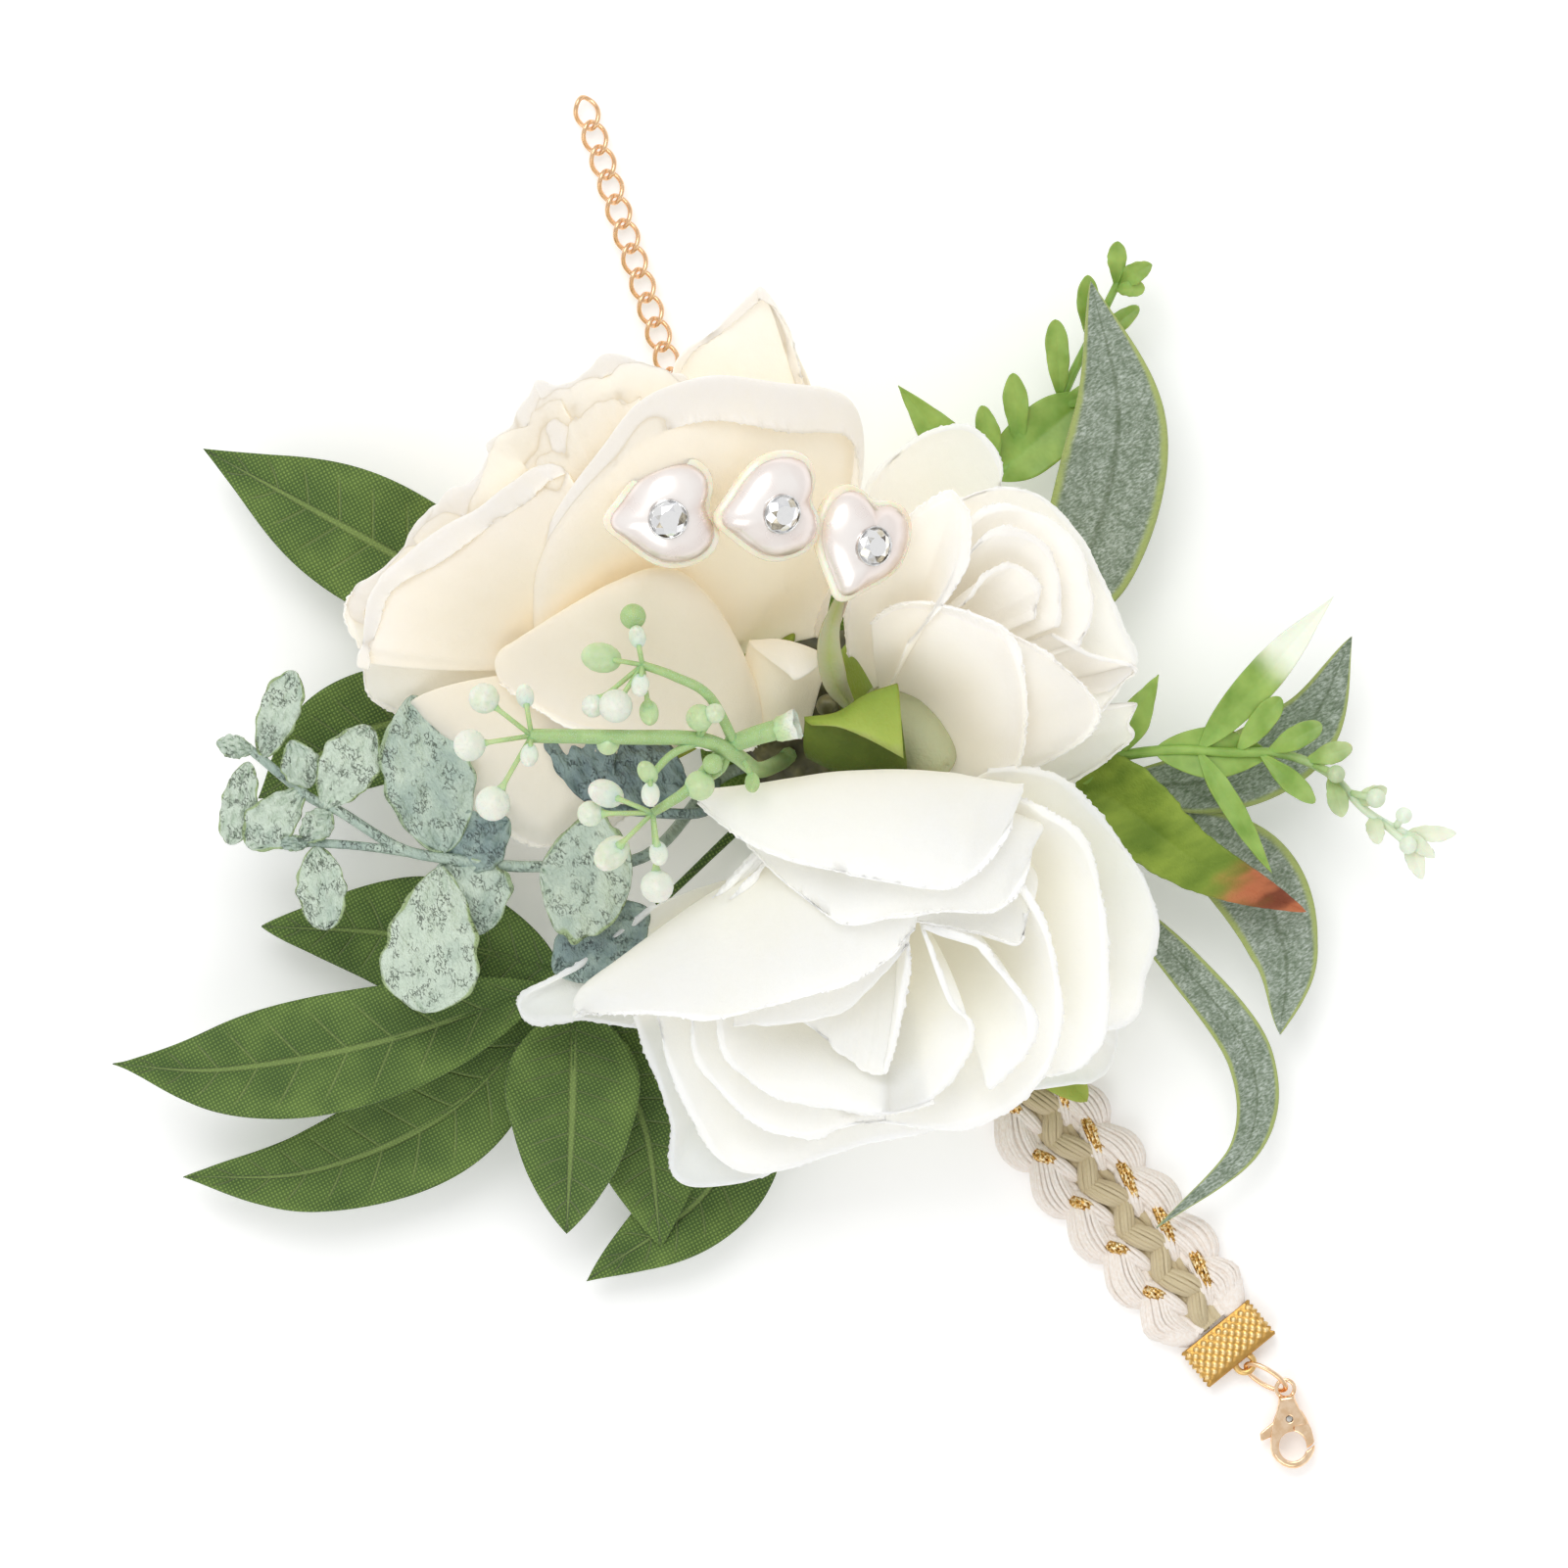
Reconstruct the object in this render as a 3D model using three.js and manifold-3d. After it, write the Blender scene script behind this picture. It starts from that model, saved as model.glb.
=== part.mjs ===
// A wrist corsage laid open on a table. Two fabric roses, a rose bud, leaf sprays, berries and pearl hearts
// are glued on a braided cotton band. The band ends in a crimped clamp at each end: one carries a lobster
// clasp on an oval jump ring, the other an extender chain of curb links.
//
// Frame: the origin is on the band's underside below the flowers, +X runs along the band towards the clasp,
// +Z points away from the wrist. Everything is in millimetres and degrees.
import * as THREE from "three";
import { mergeVertices } from "three/addons/utils/BufferGeometryUtils.js";
import Module from "manifold-3d";

const wasm = await Module();
wasm.setup();

// Driving sizes
const BAND_WIDTH = 17;
const BAND_THICKNESS = 3.4;
const BAND_TO_CLASP = 105;
const BAND_TO_CHAIN = 51;
const CLAMP_WIDTH = 12.4;
const CLAMP_LENGTH = 6.2;
const CLASP_LENGTH = 11.4;
const LINK_COUNT = 11;
const LINK_LENGTH = 5.4;
const LINK_WIDTH = 3.9;
const LINK_WIRE = 0.72;
const SPREAD = 100;
const PAD_RADIUS = 19;
const STEM_RADIUS = 0.9;
const LEAF_THICKNESS = 0.8;
const PETAL_THICKNESS = 0.9;
const HEART_WIDTH = 14;
const STONE_RADIUS = 2;
const CLEARANCE = 0.3;
const OVERRUN = 1;
const MERGE = 1e-4;

const COLOURS = {
  cotton: [0xeadccb, 0.9, 0],
  gold: [0xd9a75a, 0.25, 1],
  steel: [0xb8b4ac, 0.35, 1],
  felt: [0x6f8f3a, 0.95, 0],
  glue: [0x4d4a35, 0.6, 0],
  white: [0xf6f5f0, 0.7, 0],
  cream: [0xf1e6cf, 0.7, 0],
  ivory: [0xf2ede2, 0.7, 0],
  calyx: [0x88a83e, 0.7, 0],
  pearl: [0xf3e8dc, 0.2, 0],
  crystal: [0xe8ecee, 0.05, 0],
  leaf: [0x3f6324, 0.75, 0],
  sage: [0x8b9e8b, 0.9, 0],
  dusty: [0x9fb8ab, 0.7, 0],
  berry: [0xd5e8bd, 0.5, 0],
  fresh: [0x8fbb45, 0.5, 0],
  russet: [0x7e9a2d, 0.7, 0],
};

const rad = THREE.MathUtils.degToRad;
const mix = THREE.MathUtils.lerp;
const ease = THREE.MathUtils.smoothstep;
const vec = (x = 0, y = 0, z = 0) => new THREE.Vector3(x, y, z);

function piece(name, geometry, colour) {
  const [color, roughness, metalness] = COLOURS[colour];
  const mesh = new THREE.Mesh(geometry, new THREE.MeshStandardMaterial({ color, roughness, metalness }));
  mesh.name = name;
  return mesh;
}

// Closed meshes as solids that can be joined and cut, and back again
function solidOf(geometry) {
  const flat = geometry.index ? geometry.toNonIndexed() : geometry;
  const bare = new THREE.BufferGeometry().setAttribute("position", flat.getAttribute("position"));
  const merged = mergeVertices(bare, MERGE);
  return new wasm.Manifold(
    new wasm.Mesh({
      numProp: 3,
      vertProperties: new Float32Array(merged.attributes.position.array),
      triVerts: new Uint32Array(merged.index.array),
    }),
  );
}

function geometryOf(solid) {
  const mesh = solid.getMesh();
  const geometry = new THREE.BufferGeometry();
  geometry.setAttribute("position", new THREE.BufferAttribute(mesh.vertProperties, 3));
  geometry.setIndex(new THREE.BufferAttribute(mesh.triVerts, 1));
  geometry.computeVertexNormals();
  return geometry;
}

const united = (geometries) => geometries.map(solidOf).reduce((whole, next) => whole.add(next));
const fused = (...geometries) => geometryOf(united(geometries));
const less = (solid, ...tools) => tools.reduce((rest, tool) => rest.subtract(solidOf(tool)), solid);

const block = (x, y, z) => new THREE.BoxGeometry(x, y, z);
const upright = (geometry) => geometry.rotateX(rad(90));
const rod = (radius, length, sides = 12) =>
  upright(new THREE.CylinderGeometry(radius, radius, length, sides));
const ball = (radius, stretch = 1) => upright(new THREE.SphereGeometry(radius, 6, 4)).scale(1, 1, stretch);

// A body turned about Z from its profile of [radius, height] points
function lathe(profile, sides) {
  return upright(new THREE.LatheGeometry(profile.map(([r, z]) => new THREE.Vector2(r, z)), sides));
}

// A flat plate about z = 0 with the outline of a shape
function plate(shape, thickness, bevel = 0, segments = 5) {
  const settings = {
    depth: thickness - 2 * bevel,
    bevelEnabled: bevel > 0,
    bevelThickness: bevel,
    bevelSize: bevel,
    bevelOffset: -bevel,
    bevelSegments: 1,
    curveSegments: segments,
  };
  return new THREE.ExtrudeGeometry(shape, settings).translate(0, 0, bevel - thickness / 2);
}

// A round stem through the given points
function tube(points, radius, steps = 6, sides = 6) {
  const corners = Array.from({ length: sides }, (_, k) => {
    const angle = (2 * Math.PI * k) / sides;
    return new THREE.Vector2(radius * Math.cos(angle), radius * Math.sin(angle));
  });
  const section = new THREE.Shape(corners);
  const extrudePath = new THREE.CatmullRomCurve3(points, false, "centripetal");
  return new THREE.ExtrudeGeometry(section, { steps, extrudePath });
}

// An oval ring of round wire, long side along X. A twist in degrees turns its ends opposite ways about X.
function ovalWire(length, width, wire, steps, sides, twist = 0) {
  const [long, short] = [(length - wire) / 2, (width - wire) / 2];
  const ring = new THREE.TorusGeometry(short, wire / 2, sides, steps);
  const position = ring.getAttribute("position");
  const point = vec();
  const axis = vec(1, 0, 0);
  for (let k = 0; k < position.count; k += 1) {
    point.fromBufferAttribute(position, k);
    const end = Math.cos(Math.atan2(point.y, point.x));
    point.applyAxisAngle(axis, rad(twist) * end);
    point.x += (long - short) * end;
    position.setXYZ(k, ...point.toArray());
  }
  return ring;
}

// A sheet over surface(across, along), across from -1 to 1 and along from 0 to 1. Its thickness is measured
// square to it, and its upper side faces the cross product of the two directions.
function sheet(surface, columns, rows, thickness) {
  const step = 1e-3;
  const sides = [[], []];
  for (let row = 0; row <= rows; row += 1) {
    for (let column = 0; column <= columns; column += 1) {
      const [across, along] = [(2 * column) / columns - 1, row / rows];
      const sideways = surface(across + step, along).sub(surface(across - step, along));
      const forward = surface(across, along + step).sub(surface(across, along - step));
      const half = sideways.cross(forward).setLength(thickness(across, along) / 2);
      sides[0].push(surface(across, along).add(half));
      sides[1].push(surface(across, along).sub(half));
    }
  }
  const count = sides[0].length;
  const at = (column, row) => row * (columns + 1) + column;
  const faces = [];
  for (let row = 0; row < rows; row += 1) {
    for (let column = 0; column < columns; column += 1) {
      const [a, b] = [at(column, row), at(column + 1, row)];
      const [c, d] = [at(column + 1, row + 1), at(column, row + 1)];
      faces.push(a, b, c, a, c, d);
      faces.push(count + a, count + c, count + b, count + a, count + d, count + c);
    }
  }
  const rim = [];
  for (let column = 0; column < columns; column += 1) rim.push(at(column, 0));
  for (let row = 0; row < rows; row += 1) rim.push(at(columns, row));
  for (let column = columns; column > 0; column -= 1) rim.push(at(column, rows));
  for (let row = rows; row > 0; row -= 1) rim.push(at(0, row));
  rim.forEach((a, k) => {
    const b = rim[(k + 1) % rim.length];
    faces.push(a, count + a, count + b, a, count + b, b);
  });
  const geometry = new THREE.BufferGeometry();
  const points = [...sides[0], ...sides[1]].flatMap((p) => p.toArray());
  geometry.setAttribute("position", new THREE.Float32BufferAttribute(points, 3));
  geometry.setIndex(faces);
  return geometry;
}

const corsage = new THREE.Group();

// The braided band is straight under the flowers and bends a little sideways past them. It is made in four
// lengths that fold down round the wrist about the lower edges where they meet.
const CLASP_BEND = [52, 72];
const CHAIN_BEND = [30, 50];
const CLASP_HEADING = 11.3;
const CHAIN_HEADING = -8;
const FOLD_INNER = 28;
const FOLD_OUTER = 62;
const FOLD_CHAIN = -27;
const CRIMPED_WIDTH = 11.2;
const CRIMPED_THICKNESS = 2;
const CRIMP_TAPER = 5;
const LOBE_PITCH = 8.2;
const LOBE_DEPTH = 0.9;
const LOBE_SAMPLES = 3;
const EDGE_SHARE = 0.5;

// Along is positive towards the clasp and negative towards the chain.
function bandHeading(along) {
  if (along > 0) return CLASP_HEADING * ease(along, ...CLASP_BEND);
  return CHAIN_HEADING * ease(-along, ...CHAIN_BEND);
}

function bandPoint(along, across = 0) {
  const steps = 40;
  const middle = vec(0, 0, BAND_THICKNESS / 2);
  for (let k = 0.5; k < steps; k += 1) {
    const heading = rad(bandHeading((along * k) / steps));
    middle.x += (along / steps) * Math.cos(heading);
    middle.y += (along / steps) * Math.sin(heading);
  }
  const heading = rad(bandHeading(along));
  return middle.add(vec(-across * Math.sin(heading), across * Math.cos(heading)));
}

// How much of the band's full size is left as it narrows into a clamp
function uncrimped(along) {
  const toEnd = along > 0 ? BAND_TO_CLASP - along : BAND_TO_CHAIN + along;
  return ease(toEnd, CLAMP_LENGTH, CLAMP_LENGTH + CRIMP_TAPER);
}

function bandLength(from, to) {
  const rows = Math.ceil(((to - from) / LOBE_PITCH) * LOBE_SAMPLES);
  const surface = (across, share) => {
    const along = mix(from, to, share);
    const lobe = LOBE_DEPTH * (Math.abs(Math.sin((Math.PI * along) / LOBE_PITCH)) - 1);
    return bandPoint(along, across * mix(CRIMPED_WIDTH / 2, BAND_WIDTH / 2 + lobe, uncrimped(along)));
  };
  const thickness = (across, share) => {
    const full = mix(CRIMPED_THICKNESS, BAND_THICKNESS, uncrimped(mix(from, to, share)));
    return full * (Math.abs(across) > 1 - EDGE_SHARE / 2 ? EDGE_SHARE : 1);
  };
  return sheet((across, share) => surface(-across, share), 4, rows, thickness);
}

const bandLengths = [
  ["braided_band_chain_side", -BAND_TO_CHAIN, FOLD_CHAIN - CLEARANCE],
  ["braided_band_middle", FOLD_CHAIN, FOLD_INNER],
  ["braided_band_clasp_inner", FOLD_INNER + CLEARANCE, FOLD_OUTER],
  ["braided_band_clasp_outer", FOLD_OUTER + CLEARANCE, BAND_TO_CLASP],
];
for (const [name, from, to] of bandLengths) corsage.add(piece(name, bandLength(from, to), "cotton"));

// A crimped clamp is one strip of sheet brass folded over the band's end, with a wire loop at the fold. In
// its own frame its mouth faces -X and the outside of its fold is at the origin.
const CLAMP_SHEET = 0.45;
const CLAMP_LIP = 0.3;
const FOLD_ROUND = 0.8;
const LOOP_RADIUS = 1.6;
const LOOP_WIRE = 0.6;
const LOOP_OUT = 0.45;
const DIMPLE_RADIUS = 0.5;
const DIMPLE_DEPTH = 0.2;
const DIMPLE_ROWS = 3;
const DIMPLE_COLUMNS = 9;

function clampGeometry() {
  const half = BAND_THICKNESS / 2;
  const inner = half - CLAMP_SHEET;
  const fold = new THREE.Shape();
  fold.moveTo(-CLAMP_LENGTH, half - CLAMP_LIP);
  fold.lineTo(-CLAMP_LENGTH + CLAMP_LIP, half);
  fold.lineTo(-FOLD_ROUND, half);
  fold.quadraticCurveTo(0, half, 0, half - FOLD_ROUND);
  fold.lineTo(0, FOLD_ROUND - half);
  fold.quadraticCurveTo(0, -half, -FOLD_ROUND, -half);
  fold.lineTo(-CLAMP_LENGTH + CLAMP_LIP, -half);
  fold.lineTo(-CLAMP_LENGTH, -half + CLAMP_LIP);
  fold.closePath();
  const strip = plate(fold, CLAMP_WIDTH, 0, 3).rotateX(rad(90));
  const loop = ovalWire(2 * LOOP_RADIUS, 2 * LOOP_RADIUS, LOOP_WIRE, 14, 6).translate(LOOP_OUT, 0, 0);
  const hollow = block(2 * CLAMP_LENGTH, CLAMP_WIDTH + OVERRUN, 2 * inner);
  hollow.translate(-CLAMP_LENGTH - CLAMP_SHEET, 0, 0);
  const dimples = [];
  for (let row = 0; row < DIMPLE_ROWS; row += 1) {
    const columns = DIMPLE_COLUMNS - (row % 2);
    for (let column = 0; column < columns; column += 1) {
      const x = (-CLAMP_LENGTH * (row + 1)) / (DIMPLE_ROWS + 1);
      const y = ((column - (columns - 1) / 2) * CLAMP_WIDTH) / DIMPLE_COLUMNS;
      const z = half + DIMPLE_RADIUS - DIMPLE_DEPTH;
      dimples.push(new THREE.OctahedronGeometry(DIMPLE_RADIUS).translate(x, y, z));
    }
  }
  return geometryOf(less(united([strip, loop]), hollow, ...dimples));
}

function clamp(name, along, heading) {
  const mesh = piece(name, clampGeometry(), "gold");
  mesh.position.copy(bandPoint(along));
  mesh.rotation.z = rad(heading);
  mesh.translateX(CLAMP_SHEET + CLEARANCE);
  mesh.updateMatrixWorld();
  corsage.add(mesh);
  return mesh;
}

const claspClamp = clamp("clasp_clamp", BAND_TO_CLASP, CLASP_HEADING);
const chainClamp = clamp("chain_clamp", -BAND_TO_CHAIN, CHAIN_HEADING + 180);

// The oval jump ring through the clasp clamp's loop leans over on its long axis.
const RING_LENGTH = 7.2;
const RING_WIDTH = 4.1;
const RING_WIRE = 0.75;
const RING_LEAN = 50;
const RING_HEADING = 20;
const RING_FROM_FOLD = 0.85;

const ringReach = (RING_LENGTH - RING_WIRE) / 2;
const claspRing = new THREE.Group();
claspRing.position.copy(claspClamp.localToWorld(vec(RING_FROM_FOLD)));
claspRing.rotation.z = rad(CLASP_HEADING + RING_HEADING);
claspRing.translateX(ringReach);
const ringShape = ovalWire(RING_LENGTH, RING_WIDTH, RING_WIRE, 18, 8).rotateX(rad(RING_LEAN));
claspRing.add(piece("clasp_jump_ring", ringShape, "gold"));
claspRing.updateMatrixWorld();
corsage.add(claspRing);

// The lobster clasp is a cast hook with an eye, and a sprung lever that closes the hook's mouth. In its own
// frame the eye is at the origin, +X runs down the hook and the mouth is on the +Y side.
const EYE_RADIUS = 1.6;
const EYE_BORE = 1;
const EYE_THICKNESS = 0.9;
const HOOK_THICKNESS = 2.2;
const HOOK_HALF_WIDTH = 3.2;
const HOOK_BEVEL = 0.35;
const HOOK_RIM = 1.05;
const MOUTH_HALF_LENGTH = 2.1;
const MOUTH_HALF_WIDTH = 1.95;
const NECK_HALF_WIDTH = 1.1;
const PIVOT_AT = 4.3;
const PIN_RADIUS = 0.4;
const PIN_PLAY = 0.08;
const LEVER_THICKNESS = 1;
const LEVER_HEEL = 1.05;
const SLOT_THICKNESS = 1.5;
const SLOT_FROM = 2.8;
const SLOT_TO = 7;
const GATE_FROM = 5.4;
const GATE_TO = 9.2;
const GATE_PLAY = 0.25;
const THUMB_AT = 6.4;
const THUMB_REACH = 4.4;
const THUMB_WIDTH = 1.2;
const SPRING_STRIP = 0.2;
const SPRING_HALF_WIDTH = 0.8;
const CLASP_TURN = -52;

const mouthCentre = CLASP_LENGTH - HOOK_RIM - MOUTH_HALF_LENGTH;

function hookOutline() {
  const outline = new THREE.Shape();
  const [side, neck, end] = [HOOK_HALF_WIDTH, NECK_HALF_WIDTH, CLASP_LENGTH];
  outline.moveTo(EYE_BORE, -neck);
  outline.bezierCurveTo(SLOT_FROM, -neck, PIVOT_AT, -side, mouthCentre, -side);
  outline.bezierCurveTo(end - side / 2, -side, end, -side / 2, end, 0);
  outline.bezierCurveTo(end, side / 2, end - side / 2, side, mouthCentre, side);
  outline.bezierCurveTo(PIVOT_AT, side, SLOT_FROM, neck, EYE_BORE, neck);
  outline.closePath();
  return outline;
}

function mouthOpening() {
  const opening = new THREE.Shape();
  opening.absellipse(mouthCentre, 0, MOUTH_HALF_LENGTH, MOUTH_HALF_WIDTH, 0, 2 * Math.PI);
  return plate(opening, HOOK_THICKNESS + OVERRUN, 0, 14);
}

// The part of the clasp on the mouth's side of the pin between two distances from the eye. Its far end is an
// arc about the pin, so that the gate swings clear of the hook's nose.
function mouthSide(from, to) {
  const [width, height] = [HOOK_HALF_WIDTH + OVERRUN, HOOK_THICKNESS + OVERRUN];
  const strip = block(to - from, width, height).translate((from + to) / 2, PIN_RADIUS + width / 2, 0);
  const sweep = rod(to - PIVOT_AT, height, 32).translate(PIVOT_AT, 0, 0);
  return solidOf(strip).intersect(solidOf(sweep));
}

const pinHole = () => rod(PIN_RADIUS + PIN_PLAY, HOOK_THICKNESS + OVERRUN).translate(PIVOT_AT, 0, 0);

function claspBodyGeometry() {
  const eye = rod(EYE_RADIUS, EYE_THICKNESS, 16);
  const bore = rod(EYE_BORE, HOOK_THICKNESS + OVERRUN, 14);
  const slot = block(SLOT_TO - SLOT_FROM, 4 * HOOK_HALF_WIDTH, SLOT_THICKNESS);
  slot.translate((SLOT_FROM + SLOT_TO) / 2, 0, 0);
  const hook = united([plate(hookOutline(), HOOK_THICKNESS, HOOK_BEVEL), eye]);
  const open = hook.subtract(mouthSide(GATE_FROM, GATE_TO + GATE_PLAY));
  return geometryOf(less(open, bore, mouthOpening(), slot, pinHole()));
}

function claspLeverGeometry() {
  const outline = solidOf(plate(hookOutline(), LEVER_THICKNESS));
  const gate = outline.intersect(mouthSide(PIVOT_AT - LEVER_HEEL, GATE_TO));
  const heel = rod(LEVER_HEEL, LEVER_THICKNESS).translate(PIVOT_AT, 0, 0);
  const thumb = new THREE.Shape();
  thumb.moveTo(PIVOT_AT - LEVER_HEEL, 0);
  thumb.quadraticCurveTo(PIVOT_AT, -THUMB_REACH / 2, THUMB_AT - THUMB_WIDTH / 2, -THUMB_REACH);
  thumb.lineTo(THUMB_AT + THUMB_WIDTH / 2, -THUMB_REACH);
  thumb.quadraticCurveTo(THUMB_AT, -THUMB_REACH / 2, PIVOT_AT + LEVER_HEEL, 0);
  thumb.closePath();
  const lever = gate.add(solidOf(heel)).add(solidOf(plate(thumb, LEVER_THICKNESS)));
  return geometryOf(less(lever, mouthOpening(), pinHole()));
}

const clasp = new THREE.Group();
clasp.position.copy(claspRing.localToWorld(vec(ringReach)));
clasp.rotation.z = claspRing.rotation.z + rad(CLASP_TURN);
clasp.add(piece("clasp_body", claspBodyGeometry(), "gold"));
clasp.add(piece("clasp_lever", claspLeverGeometry(), "gold"));
clasp.add(piece("clasp_pin", rod(PIN_RADIUS, HOOK_THICKNESS).translate(PIVOT_AT, 0, 0), "gold"));
const springAt = PIVOT_AT - LEVER_HEEL - SPRING_STRIP / 2 - PIN_PLAY;
const springStrip = block(SPRING_STRIP, 2 * SPRING_HALF_WIDTH, LEVER_THICKNESS).translate(springAt, 0, 0);
clasp.add(piece("clasp_spring", springStrip, "steel"));
corsage.add(clasp);

// The extender chain hangs from the chain clamp's loop. Every link is an oval of round wire, twisted about
// its long axis so that each lies flat in the next.
const LINK_TWIST = 45;
const LINK_PLAY = 0.3;
const CHAIN_RING_LENGTH = 5.6;
const CHAIN_TURN = -2;

const linkPitch = LINK_LENGTH - 2 * LINK_WIRE - LINK_PLAY;
const chain = new THREE.Group();
chain.position.copy(chainClamp.localToWorld(vec(RING_FROM_FOLD)));
chain.rotation.z = rad(CHAIN_HEADING + 180 + CHAIN_TURN);
const chainRing = ovalWire(CHAIN_RING_LENGTH, LINK_WIDTH, LINK_WIRE, 16, 6).rotateX(rad(RING_LEAN));
chain.add(piece("chain_jump_ring", chainRing.translate((CHAIN_RING_LENGTH - LINK_WIRE) / 2, 0, 0), "gold"));
const firstLinkAt = CHAIN_RING_LENGTH - 2 * LINK_WIRE - LINK_PLAY / 2 + (LINK_LENGTH - LINK_WIRE) / 2;
for (let link = 0; link < LINK_COUNT; link += 1) {
  const shape = ovalWire(LINK_LENGTH, LINK_WIDTH, LINK_WIRE, 14, 5, LINK_TWIST);
  shape.translate(firstLinkAt + link * linkPitch, 0, 0);
  chain.add(piece(`chain_link_${String(link + 1).padStart(2, "0")}`, shape, "gold"));
}
corsage.add(chain);

// The flowers stand on a felt pad on the band. Stems lie flat on the pad and a dome of glue holds them down.
const PAD_THICKNESS = 1.5;
const DOME_RADIUS = 15;
const DOME_TOP = 11;
const BOSS_RADIUS = 9;

const padBottom = BAND_THICKNESS + CLEARANCE;
const bossBottom = padBottom + PAD_THICKNESS + CLEARANCE;
const stemLevel = bossBottom + STEM_RADIUS;
const domeBottom = stemLevel + STEM_RADIUS + CLEARANCE;
const pad = rod(PAD_RADIUS, PAD_THICKNESS, 28).translate(0, 0, padBottom + PAD_THICKNESS / 2);
corsage.add(piece("base_pad", pad, "felt"));
const domeProfile = [
  [0, bossBottom],
  [BOSS_RADIUS, bossBottom],
  [BOSS_RADIUS, domeBottom],
  [DOME_RADIUS, domeBottom],
  [BOSS_RADIUS, DOME_TOP],
  [0, DOME_TOP],
];
corsage.add(piece("glue_dome", lathe(domeProfile, 24), "glue"));

// A petal stands on the flower's axis +Z with its middle at the given turn. Its middle line starts at the
// foot radius, flares out, goes on at the lean from the axis and curls over at the rim.
const PETAL_COLUMNS = 3;
const PETAL_ROWS = 4;
const PETAL_ROUNDING = 0.3;
const PETAL_BASE_SHARE = 0.2;
const PETAL_TUCK = 1.8;
const TUCK_END = 0.15;
const FLARE_END = 0.4;
const CURL_START = 0.75;
const DRAWN_COLUMNS = 6;
const DRAWN_ROWS = 5;
const CUP_REACH = 0.95;
const CUP_RISE = 0.38;
const VIEW_TURN = 62.1;
const COLLAR_WALL = 1;
const COLLAR_HEIGHT = 1.2;
const SEPAL_FLARE = 95;
const STALK_RADIUS = 1.6;
const STALK_BEND = 5;
const CORE_NECK_SHARE = 0.7;
const CORE_SHOULDER_SHARE = 0.85;

function petal({ turn, foot, length, width, flare, lean, curl }) {
  const steps = 12;
  const surface = (across, along) => {
    const reach = along * (1 - PETAL_ROUNDING * across ** 4);
    const middle = { r: foot, z: 0 };
    for (let k = 0.5; k < steps; k += 1) {
      const share = (reach * k) / steps;
      const angle = rad(mix(flare, lean, ease(share, 0, FLARE_END)) + curl * ease(share, CURL_START, 1));
      middle.r += ((length * reach) / steps) * Math.sin(angle);
      middle.z += ((length * reach) / steps) * Math.cos(angle);
    }
    const fullness = mix(PETAL_BASE_SHARE, 1, Math.sin(Math.min(1, along / FLARE_END) * (Math.PI / 2)));
    const angle = (across * fullness * width) / 2 / middle.r;
    const tuck = PETAL_TUCK * across * Math.abs(across) * ease(along, 0, TUCK_END);
    const [r, z] = [middle.r + tuck, middle.z];
    return vec(r * Math.cos(angle), r * Math.sin(angle), z).applyAxisAngle(vec(0, 0, 1), rad(turn));
  };
  return sheet((across, along) => surface(-across, along), PETAL_COLUMNS, PETAL_ROWS, () => PETAL_THICKNESS);
}

// A petal drawn by the line of its rim, round the flower in its own frame. From the collar it cups out to
// the rim, or it curves there through the line of its belly.
function drawnPetal(foot, { rim, belly }) {
  const [rimLine, bellyLine] = [rim, belly ?? rim].map((points) => new THREE.CatmullRomCurve3(points));
  const surface = (across, along) => {
    const share = THREE.MathUtils.clamp((1 - across) / 2, 0, 1);
    const [end, waist] = [rimLine, bellyLine].map((line) => line.getPoint(share));
    const start = vec(waist.x, waist.y).setLength(foot);
    const cupped = vec(end.x * CUP_REACH, end.y * CUP_REACH, end.z * CUP_RISE);
    const bend = belly ? waist.multiplyScalar(2).sub(start.clone().lerp(end, 0.5)) : cupped;
    return new THREE.QuadraticBezierCurve3(start, bend, end).getPoint(along);
  };
  return sheet(surface, DRAWN_COLUMNS, DRAWN_ROWS, () => PETAL_THICKNESS);
}

// Joined pieces with the small pockets between them filled
function grown(...geometries) {
  const parts = united(geometries).decompose();
  return geometryOf(parts.reduce((largest, part) => (part.volume() > largest.volume() ? part : largest)));
}

// A ring of petals joined at their feet by a collar
function whorl(foot, flare, length, petalShares, drawn = []) {
  const [inner, outer, top] = [foot - COLLAR_WALL / 2, foot + COLLAR_WALL / 2, COLLAR_HEIGHT];
  const collar = lathe([[inner, 0], [outer, 0], [outer, top], [inner, top], [inner, 0]], 12);
  const petals = petalShares.map(([turn, long, wide, lean, curl]) =>
    petal({ turn, foot, flare, lean, curl, length: long * length, width: wide * length }),
  );
  const shown = drawn.map((lines) => drawnPetal(foot, lines));
  return grown(collar.translate(0, 0, -PETAL_THICKNESS / 2), ...petals, ...shown);
}

// A disc below the collars with leafy sepals round it, on a stalk that bends down to the glue dome. The
// stalk's end is given in the flower's own frame.
function calyx(radius, length, sepalShares, stalkEnd) {
  const top = -PETAL_THICKNESS / 2 - CLEARANCE;
  const [edge, bottom] = [top - COLLAR_WALL, top - 2 * COLLAR_WALL];
  const disc = lathe([[0, bottom], [radius / 2, bottom], [radius, edge], [radius, top], [0, top]], 12);
  const leaves = sepalShares.map(([turn, long, wide, lean]) => {
    const settings = { turn, foot: radius / 2, flare: SEPAL_FLARE, lean, curl: 0 };
    return petal({ ...settings, length: long * length, width: wide * length }).translate(0, 0, edge);
  });
  const stalk = tube([vec(0, 0, edge), vec(0, 0, top - STALK_BEND), ...stalkEnd], STALK_RADIUS, 8, 8);
  return grown(disc, stalk, ...leaves);
}

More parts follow.
